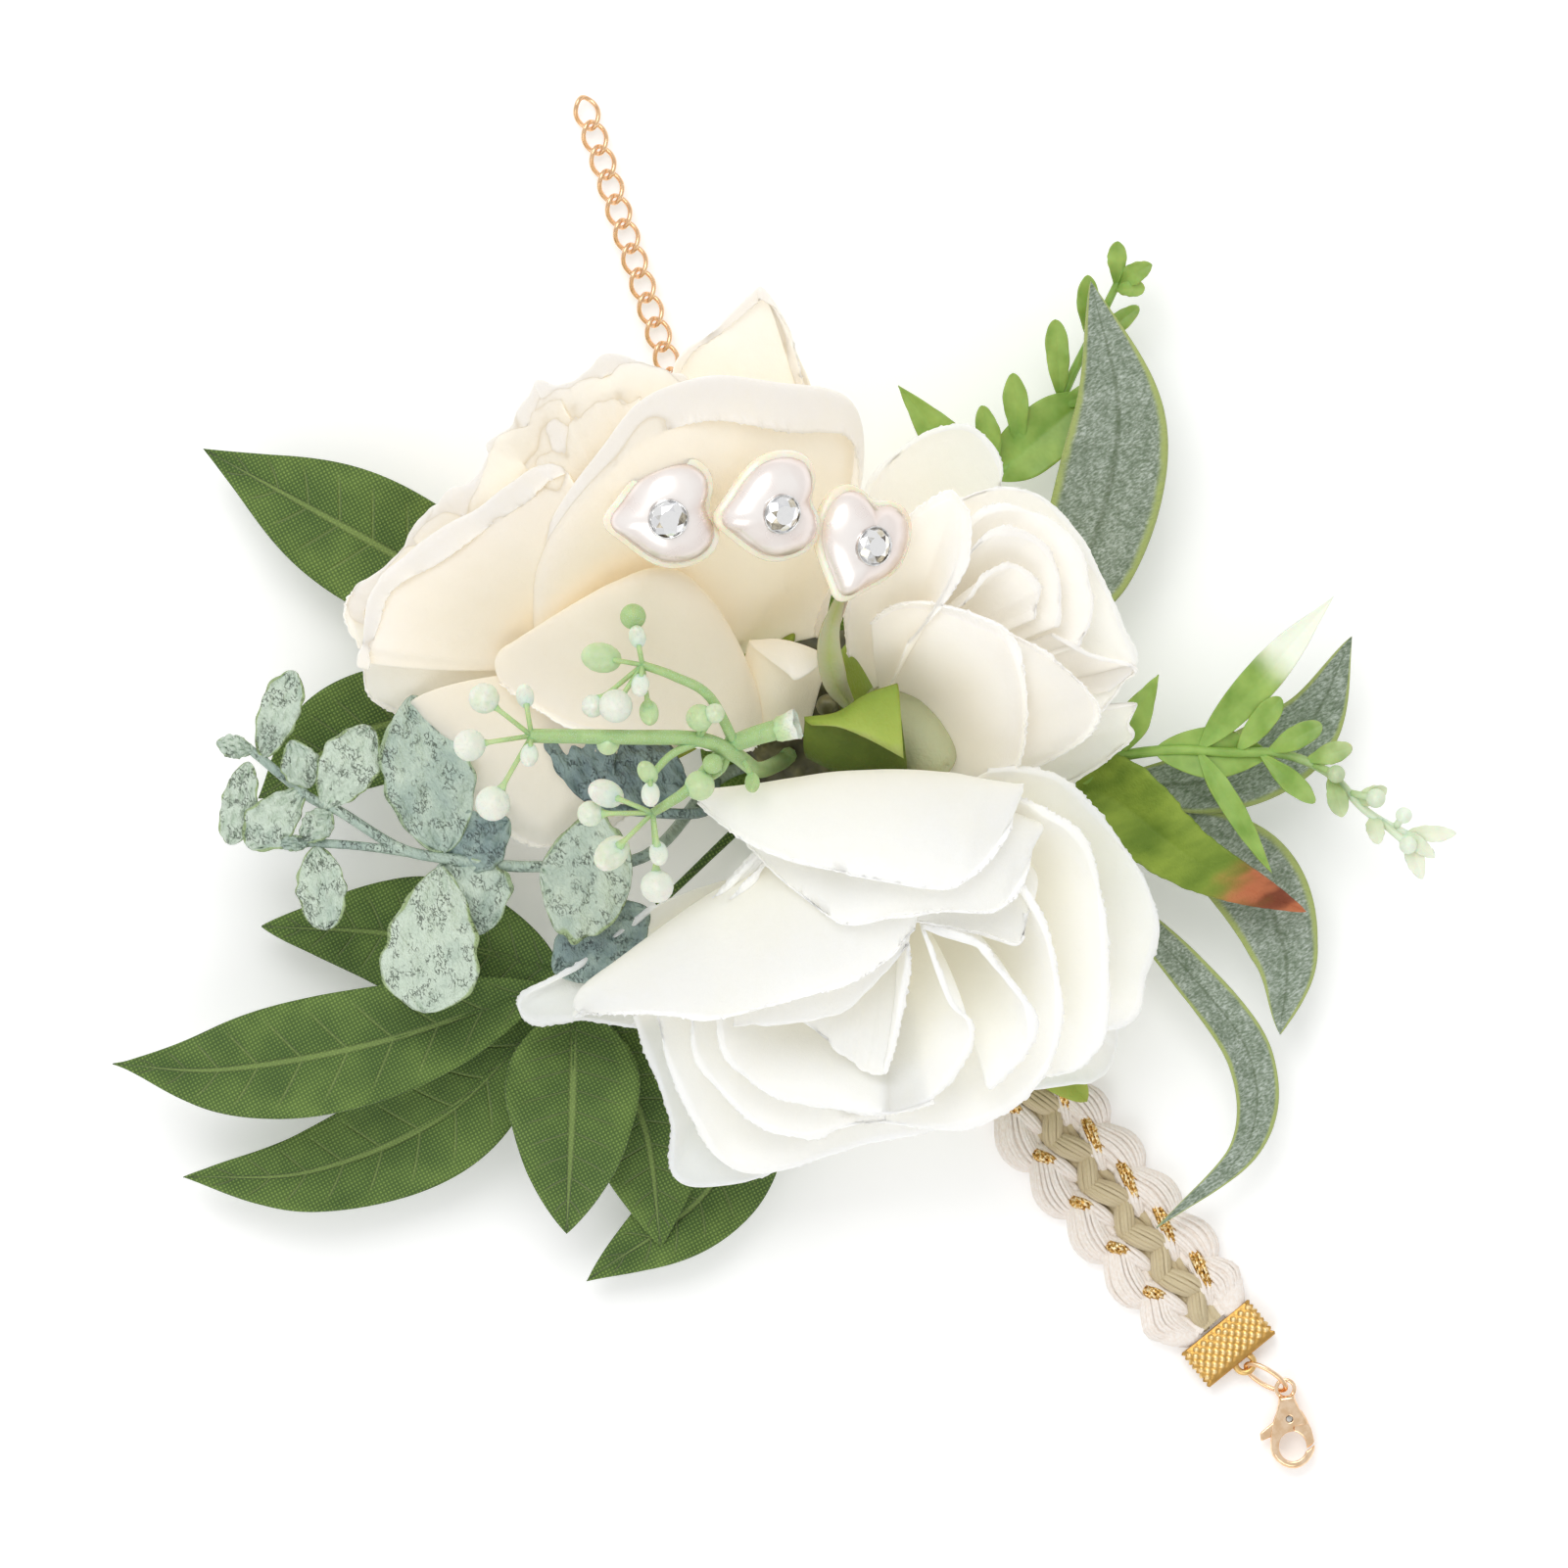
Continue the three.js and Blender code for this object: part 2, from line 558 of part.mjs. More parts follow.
// Equal petals spaced evenly round the flower
function ring(count, first, ...shares) {
  return Array.from({ length: count }, (_, k) => [first + (360 * k) / count, ...shares]);
}

// A flower leans from upright by its tilt towards a direction and stands on the glue dome. Its drawn petals
// are given as seen from above with the band turned by the view turn: right, up and height as shares of the
// flower's petal length from its foot.
function bloom(flower) {
  const { name, colour, at, tilt, towards, stands, length, feet, flares, core, whorls } = flower;
  const { sepalShares, drawnShares = [] } = flower;
  const group = new THREE.Group();
  group.position.copy(vec(...at));
  group.rotation.set(0, rad(tilt), rad(towards), "ZYX");
  group.updateMatrixWorld();
  const seen = (shares) => {
    const point = vec(...shares).multiplyScalar(length).applyAxisAngle(vec(0, 0, 1), rad(VIEW_TURN));
    return group.worldToLocal(point.add(group.position));
  };
  const drawn = drawnShares.map((lines) => {
    return Object.fromEntries(Object.entries(lines).map(([line, points]) => [line, points.map(seen)]));
  });
  const end = vec(...stands, DOME_TOP + CLEARANCE);
  const stalkEnd = [end.clone().add(vec(0, 0, STALK_RADIUS)), end].map((point) => group.worldToLocal(point));
  const green = calyx(feet.at(-1) + COLLAR_WALL, length, sepalShares, stalkEnd);
  group.add(piece(`${name}_calyx`, green, "calyx"));
  if (core) {
    const [width, height] = core;
    const shoulder = [width * CORE_NECK_SHARE, height * CORE_SHOULDER_SHARE];
    const profile = [[0, 0], [width / 2, 0], [width, height / 2], shoulder, [0, height]];
    group.add(piece(`${name}_core`, lathe(profile, 12), colour));
  }
  Object.entries(whorls).forEach(([part, petalShares], k, all) => {
    const shape = whorl(feet[k], flares[k], length, petalShares, k === all.length - 1 ? drawn : []);
    group.add(piece(`${name}_${part}_petals`, shape, colour));
  });
  corsage.add(group);
}

// Petals: turn from the side the flower leans to, length and width as shares of the flower's petal length,
// lean from the flower's axis and curl at the rim. A rose's outer petals are all drawn.
bloom({
  name: "white_rose",
  at: [16, -4, 17],
  tilt: 37,
  towards: -28,
  stands: [7, -2],
  colour: "white",
  length: 46,
  feet: [3.3, 5.8, 9],
  flares: [13, 42, 70],
  core: [1.6, 20],
  whorls: {
    inner: ring(3, 20, 0.4, 0.17, -2, 0),
    middle: ring(5, 28, 0.46, 0.34, 4, 0),
    outer: [],
  },
  sepalShares: [[39, 0.46, 0.3, 84]],
  drawnShares: [
    {
      belly: [[-0.46, 0.17, 0.37], [-0.15, 0.22, 0.57], [0.2, 0.23, 0.57], [0.4, 0.17, 0.37]],
      rim: [[-0.52, 0.14, 0.54], [-0.17, -0.05, 0.74], [0.23, -0.11, 0.76], [0.42, 0.16, 0.54]],
    },
    {
      belly: [[-0.74, -0.33, 0.26], [-0.35, -0.08, 0.46], [0.09, 0.02, 0.48]],
      rim: [[-0.91, -0.51, 0.26], [-0.45, -0.5, 0.52], [0.11, -0.24, 0.61]],
    },
    {
      rim: [
        [0.35, 0.23, 0.28],
        [0.66, 0.12, 0.28],
        [0.86, -0.25, 0.2],
        [0.8, -0.49, 0.17],
        [0.61, -0.57, 0.2],
      ],
    },
    {
      rim: [
        [0.39, 0.13, 0.46],
        [0.62, 0.03, 0.43],
        [0.7, -0.28, 0.37],
        [0.67, -0.59, 0.33],
        [0.43, -0.72, 0.28],
      ],
    },
    {
      rim: [[0.78, -0.48, 0], [0.74, -0.63, -0.02], [0.57, -0.72, 0], [0.35, -0.76, 0.04]],
    },
    {
      rim: [
        [0.2, -0.82, 0.17],
        [-0.2, -0.94, 0.09],
        [-0.54, -0.99, 0.04],
        [-0.64, -0.74, 0.13],
        [-0.74, -0.48, 0.22],
      ],
    },
    {
      rim: [
        [0.35, -0.74, 0.35],
        [0.04, -0.83, 0.3],
        [-0.32, -0.83, 0.28],
        [-0.48, -0.7, 0.35],
        [-0.54, -0.5, 0.41],
      ],
    },
    {
      rim: [[-0.7, -0.54, 0.15], [-1.05, -0.49, 0.13], [-0.87, -0.35, 0.13], [-0.65, -0.17, 0.15]],
    },
  ],
});

bloom({
  name: "cream_rose",
  at: [-17, -9, 19],
  tilt: 62,
  towards: -170,
  stands: [-7, -5],
  colour: "cream",
  length: 48,
  feet: [3.3, 5.8, 9],
  flares: [20, 30, 65],
  core: [3, 30],
  whorls: {
    inner: ring(3, 20, 0.7, 0.22, 0, 0),
    middle: ring(3, 8, 0.74, 0.34, 3, 0),
    outer: [],
  },
  sepalShares: [[-60, 0.36, 0.2, 72]],
  drawnShares: [
    {
      belly: [
        [-0.44, 0.05, 0.42],
        [-0.4, 0.19, 0.65],
        [-0.21, 0.29, 0.75],
        [0.02, 0.3, 0.73],
        [0.18, 0.27, 0.58],
        [0.21, 0.17, 0.4],
        [0.23, 0.07, 0.19],
      ],
      rim: [
        [-0.58, 0.05, 0.29],
        [-0.52, 0.34, 0.58],
        [-0.24, 0.72, 0.81],
        [0.12, 0.74, 0.77],
        [0.33, 0.69, 0.65],
        [0.29, 0.42, 0.5],
        [0.26, 0.05, 0.1],
      ],
    },
    {
      belly: [
        [-0.56, 0.05, 0.4],
        [-0.31, 0.22, 0.67],
        [-0.19, 0.25, 0.77],
        [-0.07, 0.17, 0.67],
        [0.08, -0.06, 0.25],
      ],
      rim: [
        [-0.67, -0.07, 0.27],
        [-0.44, -0.19, 0.4],
        [-0.29, -0.21, 0.4],
        [-0.11, -0.25, 0.29],
        [0.08, -0.16, 0.23],
      ],
    },
    {
      belly: [[-0.65, 0, 0.29], [-0.63, 0.09, 0.38], [-0.52, 0.17, 0.52], [-0.4, 0.25, 0.62]],
      rim: [[-1.04, 0.09, 0.29], [-0.93, 0.32, 0.44], [-0.72, 0.41, 0.58], [-0.54, 0.53, 0.75]],
    },
    {
      belly: [[-0.46, -0.14, 0.06], [-0.61, -0.06, 0.15], [-0.63, 0.04, 0.23], [-0.52, 0.13, 0.29]],
      rim: [[-0.94, -0.14, -0.02], [-1.07, 0.02, 0.06], [-1.06, 0.17, 0.15], [-0.71, 0.3, 0.29]],
    },
    {
      belly: [[-0.59, -0.1, 0.15], [-0.46, -0.2, 0.15], [-0.25, -0.23, 0.1], [-0.15, -0.16, 0.06]],
      rim: [[-0.92, -0.16, -0.02], [-0.69, -0.45, -0.1], [-0.38, -0.48, -0.1], [-0.19, -0.35, -0.04]],
    },
    {
      belly: [[0.06, 0.57, 0.15], [0.19, 0.53, 0.12], [0.31, 0.42, 0.1]],
      rim: [[-0.11, 0.78, 0.35], [0.08, 1.05, 0.46], [0.29, 0.63, 0.25]],
    },
  ],
});

bloom({
  name: "rose_bud",
  at: [-1, 7, 18],
  tilt: 64,
  towards: 82,
  stands: [-1, 4],
  colour: "ivory",
  length: 38,
  feet: [3.5, 5.6],
  flares: [30, 60],
  whorls: {
    inner: ring(3, 20, 0.9, 0.5, 4, 10),
    outer: ring(5, 36, 0.97, 0.7, 12, 0),
  },
  sepalShares: [
    [150, 0.5, 0.32, 62],
    [-160, 0.36, 0.34, 62],
  ],
});

// Each pearl heart is a flat-backed heart on the cream rose's upper petal, with a cut stone in a cup on it.
const HEART_THICKNESS = 5;
const HEART_POINT_SHARE = 1.2;
const HEART_BEVEL = 1.6;
const STONE_HEIGHT = 1.6;
const WIRE_RADIUS = 0.6;
const WIRE_FOOT = [-7, -1];
const WIRE_BEND_SHARE = 0.3;

function heartShape(width) {
  const w = width / 2;
  const point = -HEART_POINT_SHARE * w;
  const heart = new THREE.Shape();
  heart.moveTo(0, point);
  heart.bezierCurveTo(w / 2, -w / 2, w, -w / 3, w, w / 4);
  heart.bezierCurveTo(w, w, w / 5, w, 0, w / 2);
  heart.bezierCurveTo(-w / 5, w, -w, w, -w, w / 4);
  heart.bezierCurveTo(-w, -w / 3, -w / 2, -w / 2, 0, point);
  return heart;
}

// A heart's wire stands on the glue dome.
function heartWire(group) {
  const foot = vec(...WIRE_FOOT, DOME_TOP + CLEARANCE);
  const bend = foot.clone().lerp(group.position, WIRE_BEND_SHARE).add(vec(0, 0, HEART_WIDTH / 4));
  return tube([group.position, bend, foot].map((point) => group.worldToLocal(point.clone())), WIRE_RADIUS);
}

// Each heart's place, its tilt and the direction of that, and its spin. The last one hangs on a wire.
const hearts = [
  { at: [-38.2, -7.7, 61.6], tilt: 14, towards: 10, spin: -30 },
  { at: [-31.9, 5.9, 58.6], tilt: 28, towards: 35, spin: -54 },
  { at: [-22, 14.8, 49], tilt: 32, towards: 50, spin: -8, wired: true },
];
hearts.forEach(({ at, tilt, towards, spin, wired }, k) => {
  const group = new THREE.Group();
  group.position.copy(vec(...at));
  group.rotation.set(0, rad(tilt), rad(towards), "ZYX");
  group.updateMatrixWorld();
  const body = plate(heartShape(HEART_WIDTH), HEART_THICKNESS, HEART_BEVEL, 6).rotateZ(rad(spin));
  const seat = rod(STONE_RADIUS + CLEARANCE, STONE_HEIGHT, 12).translate(0, 0, HEART_THICKNESS / 2);
  const solid = wired ? solidOf(body).add(solidOf(heartWire(group))) : solidOf(body);
  group.add(piece(`pearl_heart_${k + 1}`, geometryOf(less(solid, seat)), "pearl"));
  const foot = HEART_THICKNESS / 2 - STONE_HEIGHT / 2 + CLEARANCE;
  const girdle = [STONE_RADIUS, STONE_HEIGHT / 3];
  const stone = lathe([[0, 0], girdle, [STONE_RADIUS / 2, STONE_HEIGHT], [0, STONE_HEIGHT]], 10);
  group.add(piece(`rhinestone_${k + 1}`, stone.translate(0, 0, foot), "crystal"));
  corsage.add(group);
});

// Leaves and sprays. Every place below is a share of SPREAD in the corsage's frame.
const STEM_FOOT = BOSS_RADIUS + STEM_RADIUS + CLEARANCE;
const SPRAY_RADIUS = 0.7;
const SPRAY_GAP = 0.3;
const SPRAY_RISE = 4;
const STALKLET_RADIUS = 0.5;
const BLADE_COLUMNS = 2;
const BLADE_ROWS = 7;
const BLADE_FOLD = 0.25;
const BLADE_END_SHARE = 0.07;
const BLADE_SWELL = 0.8;
const STEM_ON_BLADE_SHARE = 0.2;
const LEAFLET_THICKNESS = 0.6;
const BERRY_STRETCH = 1.3;

const place = (shares) => vec(...shares).multiplyScalar(SPREAD);

// A leaf blade along a route, widest before its middle and folded a little along its midrib
function blade(points, width, thickness, rows) {
  const route = new THREE.CatmullRomCurve3(points, false, "centripetal");
  const surface = (across, along) => {
    const share = THREE.MathUtils.clamp(along, 0, 1);
    const ahead = route.getTangent(share);
    const half = (width / 2) * Math.max(BLADE_END_SHARE, Math.sin(Math.PI * share ** BLADE_SWELL));
    const side = vec(-ahead.y, ahead.x).setLength(half * across);
    return route.getPoint(share).add(side).add(vec(0, 0, -BLADE_FOLD * Math.abs(across) * half));
  };
  return sheet((across, along) => surface(-across, along), BLADE_COLUMNS, rows, () => thickness);
}

// The first two points of every stem: it lies on the pad under the dome and points at its heading.
function stemFoot(heading) {
  const out = vec(Math.cos(rad(heading)), Math.sin(rad(heading)));
  return [STEM_FOOT, PAD_RADIUS].map((reach) => out.clone().multiplyScalar(reach).add(vec(0, 0, stemLevel)));
}

// A fabric leaf on a wire stem. Its blade starts at the first place.
function leaf(heading, width, places) {
  const points = places.map(place);
  const end = points[0].clone().lerp(points[1], STEM_ON_BLADE_SHARE);
  const stem = tube([...stemFoot(heading), points[0], end], STEM_RADIUS, 5);
  return [stem, blade(points, width * SPREAD, LEAF_THICKNESS, BLADE_ROWS)];
}

// Each leaf: colour, heading of its stem, width, and its base, middle and tip
const leafShares = {
  leaf_upper_left: [["leaf", -150, 0.19, [-0.27, -0.28, 0.07], [-0.55, -0.46, 0.08], [-0.78, -0.61, 0.07]]],
  leaf_left: [["leaf", -122, 0.17, [-0.25, -0.36, 0.08], [-0.32, -0.59, 0.09], [-0.307, -0.773, 0.08]]],
  leaf_lower_right: [["leaf", -56, 0.15, [0.28, -0.3, 0.06], [0.47, -0.45, 0.06], [0.514, -0.682, 0.05]]],
  sage_leaf_upper: [["sage", 108, 0.15, [-0.01, 0.32, 0.09], [-0.16, 0.52, 0.13], [-0.401, 0.608, 0.15]]],
  sage_sprig_right: [
    ["sage", 66, 0.11, [0.24, 0.3, 0.09], [0.31, 0.5, 0.1], [0.214, 0.701, 0.09]],
    ["sage", 40, 0.12, [0.27, 0.27, 0.08], [0.49, 0.41, 0.09], [0.664, 0.348, 0.08]],
    ["sage", 14, 0.06, [0.34, 0.22, 0.07], [0.675, 0.295, 0.08], [0.82, 0.07, 0.065]],
  ],
  russet_sepal: [["russet", 52, 0.12, [0.21, 0.22, 0.13], [0.37, 0.34, 0.17], [0.526, 0.46, 0.15]]],
};
for (const [name, leaves] of Object.entries(leafShares)) {
  const parts = leaves.flatMap(([, heading, width, ...places]) => leaf(heading, width, places));
  corsage.add(piece(name, grown(...parts), leaves[0][0]));
}

// Five leaves fan out round the knob at the end of one stem.
const KNOB_RADIUS = 2.6;
const knobShares = [0.13, -0.49, 0.12];
const knobStemShares = [0.09, -0.34, 0.1];
const knob = ball(KNOB_RADIUS).translate(...place(knobShares).toArray());
const knobStem = tube([...stemFoot(-76), place(knobStemShares), place(knobShares)], STEM_RADIUS);
corsage.add(piece("leaf_sprig_stem", fused(knobStem, knob), "leaf"));
// Each leaf of the fan: width, middle and tip
const fanShares = [
  [0.16, [-0.034, -0.673, 0.09], [-0.145, -0.853, 0.07]],
  [0.19, [0.07, -0.78, 0.16], [-0.071, -1.128, 0.13]],
  [0.18, [0.21, -0.78, 0.08], [0.117, -1.117, 0.07]],
  [0.19, [0.29, -0.585, 0.16], [0.44, -0.674, 0.12]],
  [0.17, [0.35, -0.505, 0.09], [0.52, -0.566, 0.07]],
];
fanShares.forEach(([width, ...places], k) => {
  const centre = place(knobShares);
  const points = places.map(place);
  const out = points[0].clone().sub(centre).setLength(KNOB_RADIUS + CLEARANCE);
  const shape = blade([centre.add(out), ...points], width * SPREAD, LEAF_THICKNESS, BLADE_ROWS);
  corsage.add(piece(`sprig_leaf_${k + 1}`, shape, "leaf"));
});

// A moulded spray: a stem with leaflets and berries. A leaflet is given by the share of the stem it grows
// from, its width and its tip, and a berry by the same share, its radius and its centre.
function spray({ name, colour, start, stemShares, leafletShares = [], berryShares = [] }) {
  const points = [...start, ...stemShares.map(place)];
  const route = new THREE.CatmullRomCurve3(points, false, "centripetal");
  const parts = [tube(points, SPRAY_RADIUS, 10, 5)];
  for (const [from, width, tip] of leafletShares) {
    const [root, end] = [route.getPoint(from), place(tip)];
    const middle = root.clone().lerp(end, 0.5).add(vec(0, 0, LEAFLET_THICKNESS));
    parts.push(blade([root, middle, end], width * SPREAD, LEAFLET_THICKNESS, 4));
  }
  for (const [from, radius, centre] of berryShares) {
    parts.push(tube([route.getPoint(from), place(centre)], STALKLET_RADIUS, 1, 4));
    parts.push(ball(radius * SPREAD, BERRY_STRETCH).translate(...place(centre).toArray()));
  }
  corsage.add(piece(name, grown(...parts), colour));
}

spray({
  name: "eucalyptus_spray",
  colour: "dusty",
  start: stemFoot(-98),
  stemShares: [
    [0.02, -0.33, 0.19],
    [-0.04, -0.48, 0.22],
    [-0.13, -0.61, 0.23],
    [-0.23, -0.68, 0.22],
    [-0.36, -0.74, 0.2],
  ],
  leafletShares: [
    [0.66, 0.13, [-0.33, -0.51, 0.24]],
    [0.68, 0.14, [0.07, -0.71, 0.26]],
    [0.52, 0.11, [-0.16, -0.48, 0.25]],
    [0.5, 0.12, [0.12, -0.46, 0.27]],
    [0.84, 0.08, [-0.34, -0.62, 0.24]],
    [0.92, 0.1, [-0.25, -0.8, 0.22]],
    [0.99, 0.05, [-0.27, -0.83, 0.2]],
    [0.99, 0.06, [-0.45, -0.66, 0.23]],
    [0.86, 0.07, [-0.11, -0.78, 0.22]],
  ],
});

spray({
  name: "upper_spray",
  colour: "fresh",
  start: stemFoot(128),
  stemShares: [
    [-0.2, 0.34, 0.1],
    [-0.25, 0.44, 0.1],
    [-0.3, 0.53, 0.09],
    [-0.34, 0.61, 0.09],
    [-0.4, 0.67, 0.1],
  ],
  leafletShares: [
    [0.36, 0.06, [-0.4, 0.3, 0.14]],
    [0.4, 0.03, [-0.31, 0.39, 0.14]],
    [0.4, 0.08, [-0.26, 0.54, 0.06]],
    [0.56, 0.03, [-0.33, 0.46, 0.12]],
    [0.7, 0.03, [-0.37, 0.54, 0.12]],
    [0.82, 0.03, [-0.41, 0.61, 0.12]],
    [0.98, 0.02, [-0.43, 0.67, 0.12]],
    [0.98, 0.03, [-0.38, 0.71, 0.11]],
  ],
});

spray({
  name: "right_spray",
  colour: "fresh",
  start: stemFoot(82),
  stemShares: [
    [0.21, 0.3, 0.14],
    [0.23, 0.38, 0.17],
    [0.25, 0.46, 0.18],
    [0.3, 0.53, 0.18],
    [0.37, 0.57, 0.18],
    [0.45, 0.61, 0.17],
    [0.52, 0.67, 0.16],
  ],
  leafletShares: [
    [0.4, 0.04, [0.11, 0.45, 0.2]],
    [0.42, 0.07, [0.31, 0.51, 0.15]],
    [0.5, 0.08, [0.15, 0.7, 0.2]],
    [0.6, 0.03, [0.25, 0.56, 0.21]],
    [0.68, 0.03, [0.3, 0.6, 0.21]],
    [0.52, 0.04, [0.46, 0.44, 0.22]],
    [0.64, 0.03, [0.39, 0.5, 0.2]],
    [0.9, 0.02, [0.56, 0.62, 0.16]],
  ],
  berryShares: [
    [0.74, 0.012, [0.37, 0.59, 0.2]],
    [0.86, 0.014, [0.42, 0.63, 0.19]],
    [0.98, 0.01, [0.53, 0.7, 0.17]],
  ],
});

spray({
  name: "berry_spray",
  colour: "berry",
  start: [vec(-1, -8, DOME_TOP + SPRAY_GAP), vec(-1, -10, DOME_TOP + SPRAY_RISE)],
  stemShares: [
    [-0.02, -0.12, 0.38],
    [-0.05, -0.2, 0.55],
    [-0.13, -0.3, 0.58],
    [-0.2, -0.4, 0.55],
  ],
  leafletShares: [[0.5, 0.06, [-0.06, -0.12, 0.57]]],
  berryShares: [
    [0.98, 0.02, [-0.28, -0.41, 0.52]],
    [0.98, 0.022, [-0.23, -0.46, 0.52]],
    [0.98, 0.024, [-0.14, -0.48, 0.52]],
    [0.8, 0.02, [-0.26, -0.26, 0.6]],
    [0.78, 0.025, [-0.19, -0.25, 0.61]],
    [0.76, 0.02, [-0.28, -0.2, 0.62]],
    [0.8, 0.02, [-0.03, -0.37, 0.54]],
    [0.8, 0.022, [0.025, -0.32, 0.575]],
    [0.8, 0.02, [-0.09, -0.37, 0.54]],
    [0.68, 0.02, [-0.03, -0.25, 0.57]],
  ],
});

export default corsage;
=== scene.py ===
"""The looks of a wrist corsage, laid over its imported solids. Lengths in this file are in millimetres."""

import math

import bpy
import numpy as np
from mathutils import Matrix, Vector


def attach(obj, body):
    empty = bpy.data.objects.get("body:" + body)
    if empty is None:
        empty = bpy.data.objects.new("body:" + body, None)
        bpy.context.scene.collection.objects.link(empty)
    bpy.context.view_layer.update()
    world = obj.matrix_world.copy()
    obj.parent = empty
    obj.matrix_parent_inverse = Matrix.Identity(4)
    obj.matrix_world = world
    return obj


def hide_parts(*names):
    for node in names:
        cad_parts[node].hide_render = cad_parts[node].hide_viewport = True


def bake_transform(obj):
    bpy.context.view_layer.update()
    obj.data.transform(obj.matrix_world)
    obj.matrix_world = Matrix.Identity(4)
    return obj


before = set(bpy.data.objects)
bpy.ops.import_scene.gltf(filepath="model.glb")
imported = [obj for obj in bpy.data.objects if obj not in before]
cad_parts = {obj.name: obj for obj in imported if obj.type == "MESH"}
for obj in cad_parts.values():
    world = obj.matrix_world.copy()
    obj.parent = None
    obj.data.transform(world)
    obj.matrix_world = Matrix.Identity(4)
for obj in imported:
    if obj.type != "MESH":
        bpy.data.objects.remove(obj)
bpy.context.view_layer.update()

# The corsage lies on a table and is seen from straight above through a long lens. The camera is
# rolled, so that the band runs from the upper left to the lower right.
MM = 0.001
TURN = math.radians(62.1)
VIEW_MIDDLE = (2.3, -10.6)
VIEW_WIDTH = 222.4
VIEW_DISTANCE = 2500
SENSOR = 36
FLOWERS = "flower_band"

camera = bpy.data.objects.new("camera", bpy.data.cameras.new("camera"))
camera.data.sensor_width = SENSOR
camera.data.lens = SENSOR * VIEW_DISTANCE / VIEW_WIDTH
camera.location = (VIEW_MIDDLE[0] * MM, VIEW_MIDDLE[1] * MM, VIEW_DISTANCE * MM)
camera.rotation_euler.z = TURN
bpy.context.scene.collection.objects.link(camera)
bpy.context.scene.camera = camera
bpy.context.scene.view_settings.view_transform = "Standard"

# The band is a flat braid of cotton yarn. A fat ivory bundle bulges at each edge, two tan bundles
# cross in its middle, thin ivory bundles run in between, and a gold thread comes up where each edge
# bundle starts.
PLAIT_PITCH = 8.2
BAND_MIDDLE = 1.7
TO_CLASP = 105
TO_CHAIN = 51
CLAMP_REACH = 6.2
CRIMP_TAPER = 5
CRIMPED_SHARE = 0.62
CRIMPED_HEIGHT_SHARE = 0.5
CLASP_HEADING = 11.3
CHAIN_HEADING = -8
CLASP_BEND = (52, 72)
CHAIN_BEND = (30, 50)
STATION_STEP = 0.25
CLASP_FOLDS = (28.15, 62.15)
CHAIN_FOLD = -27.15
FOLD_REACH = 5


def smooth(value, low, high):
    share = np.clip((value - low) / (high - low), 0, 1)
    return share * share * (3 - 2 * share)


def unit(vectors):
    return vectors / np.maximum(np.linalg.norm(vectors, axis=-1, keepdims=True), 1e-9)


def curve(points, count):
    """Points spread evenly in a smooth curve's parameter through the given ones"""
    points = np.array(points, float)
    padded = np.vstack([2 * points[0] - points[1], points, 2 * points[-1] - points[-2]])
    share = np.linspace(0, len(points) - 1 - 1e-9, count)
    span = share.astype(int)
    t = (share - span)[:, None]
    a, b, c, d = (padded[span + k] for k in range(4))
    return 0.5 * (2 * b + (c - a) * t + (2 * a - 5 * b + 4 * c - d) * t**2 + (3 * b - a - 3 * c + d) * t**3)


stations = np.arange(-60, 115, STATION_STEP)
to_clasp = CLASP_HEADING * smooth(stations, *CLASP_BEND)
to_chain = CHAIN_HEADING * smooth(-stations, *CHAIN_BEND)
turns = np.radians(np.where(stations > 0, to_clasp, to_chain))
band_line = np.cumsum(np.stack([np.cos(turns), np.sin(turns)], 1) * STATION_STEP, axis=0)
band_line -= band_line[np.argmin(np.abs(stations))]


def on_band(places):
    """Places given along, across and above the band, as points of the row frame"""
    along, across, height = np.asarray(places, float).T
    heading = np.interp(along, stations, turns)
    x = np.interp(along, stations, band_line[:, 0]) - across * np.sin(heading)
    y = np.interp(along, stations, band_line[:, 1]) + across * np.cos(heading)
    return np.stack([x, y, height], 1)


def tube(centre, radius, sides=8, flat=1.0):
    """Rings of points round a line; flat is their height against their width"""
    centre = np.asarray(centre, float)
    radius = np.broadcast_to(radius, len(centre))[:, None, None]
    ahead = unit(np.gradient(centre, axis=0))
    side = unit(np.cross(ahead, (0, 0, 1)))
    rise = np.cross(side, ahead)
    angle = np.linspace(0, 2 * np.pi, sides, endpoint=False)[None, :, None]
    around = np.cos(angle) * side[:, None] + flat * np.sin(angle) * rise[:, None]
    return centre[:, None] + radius * around


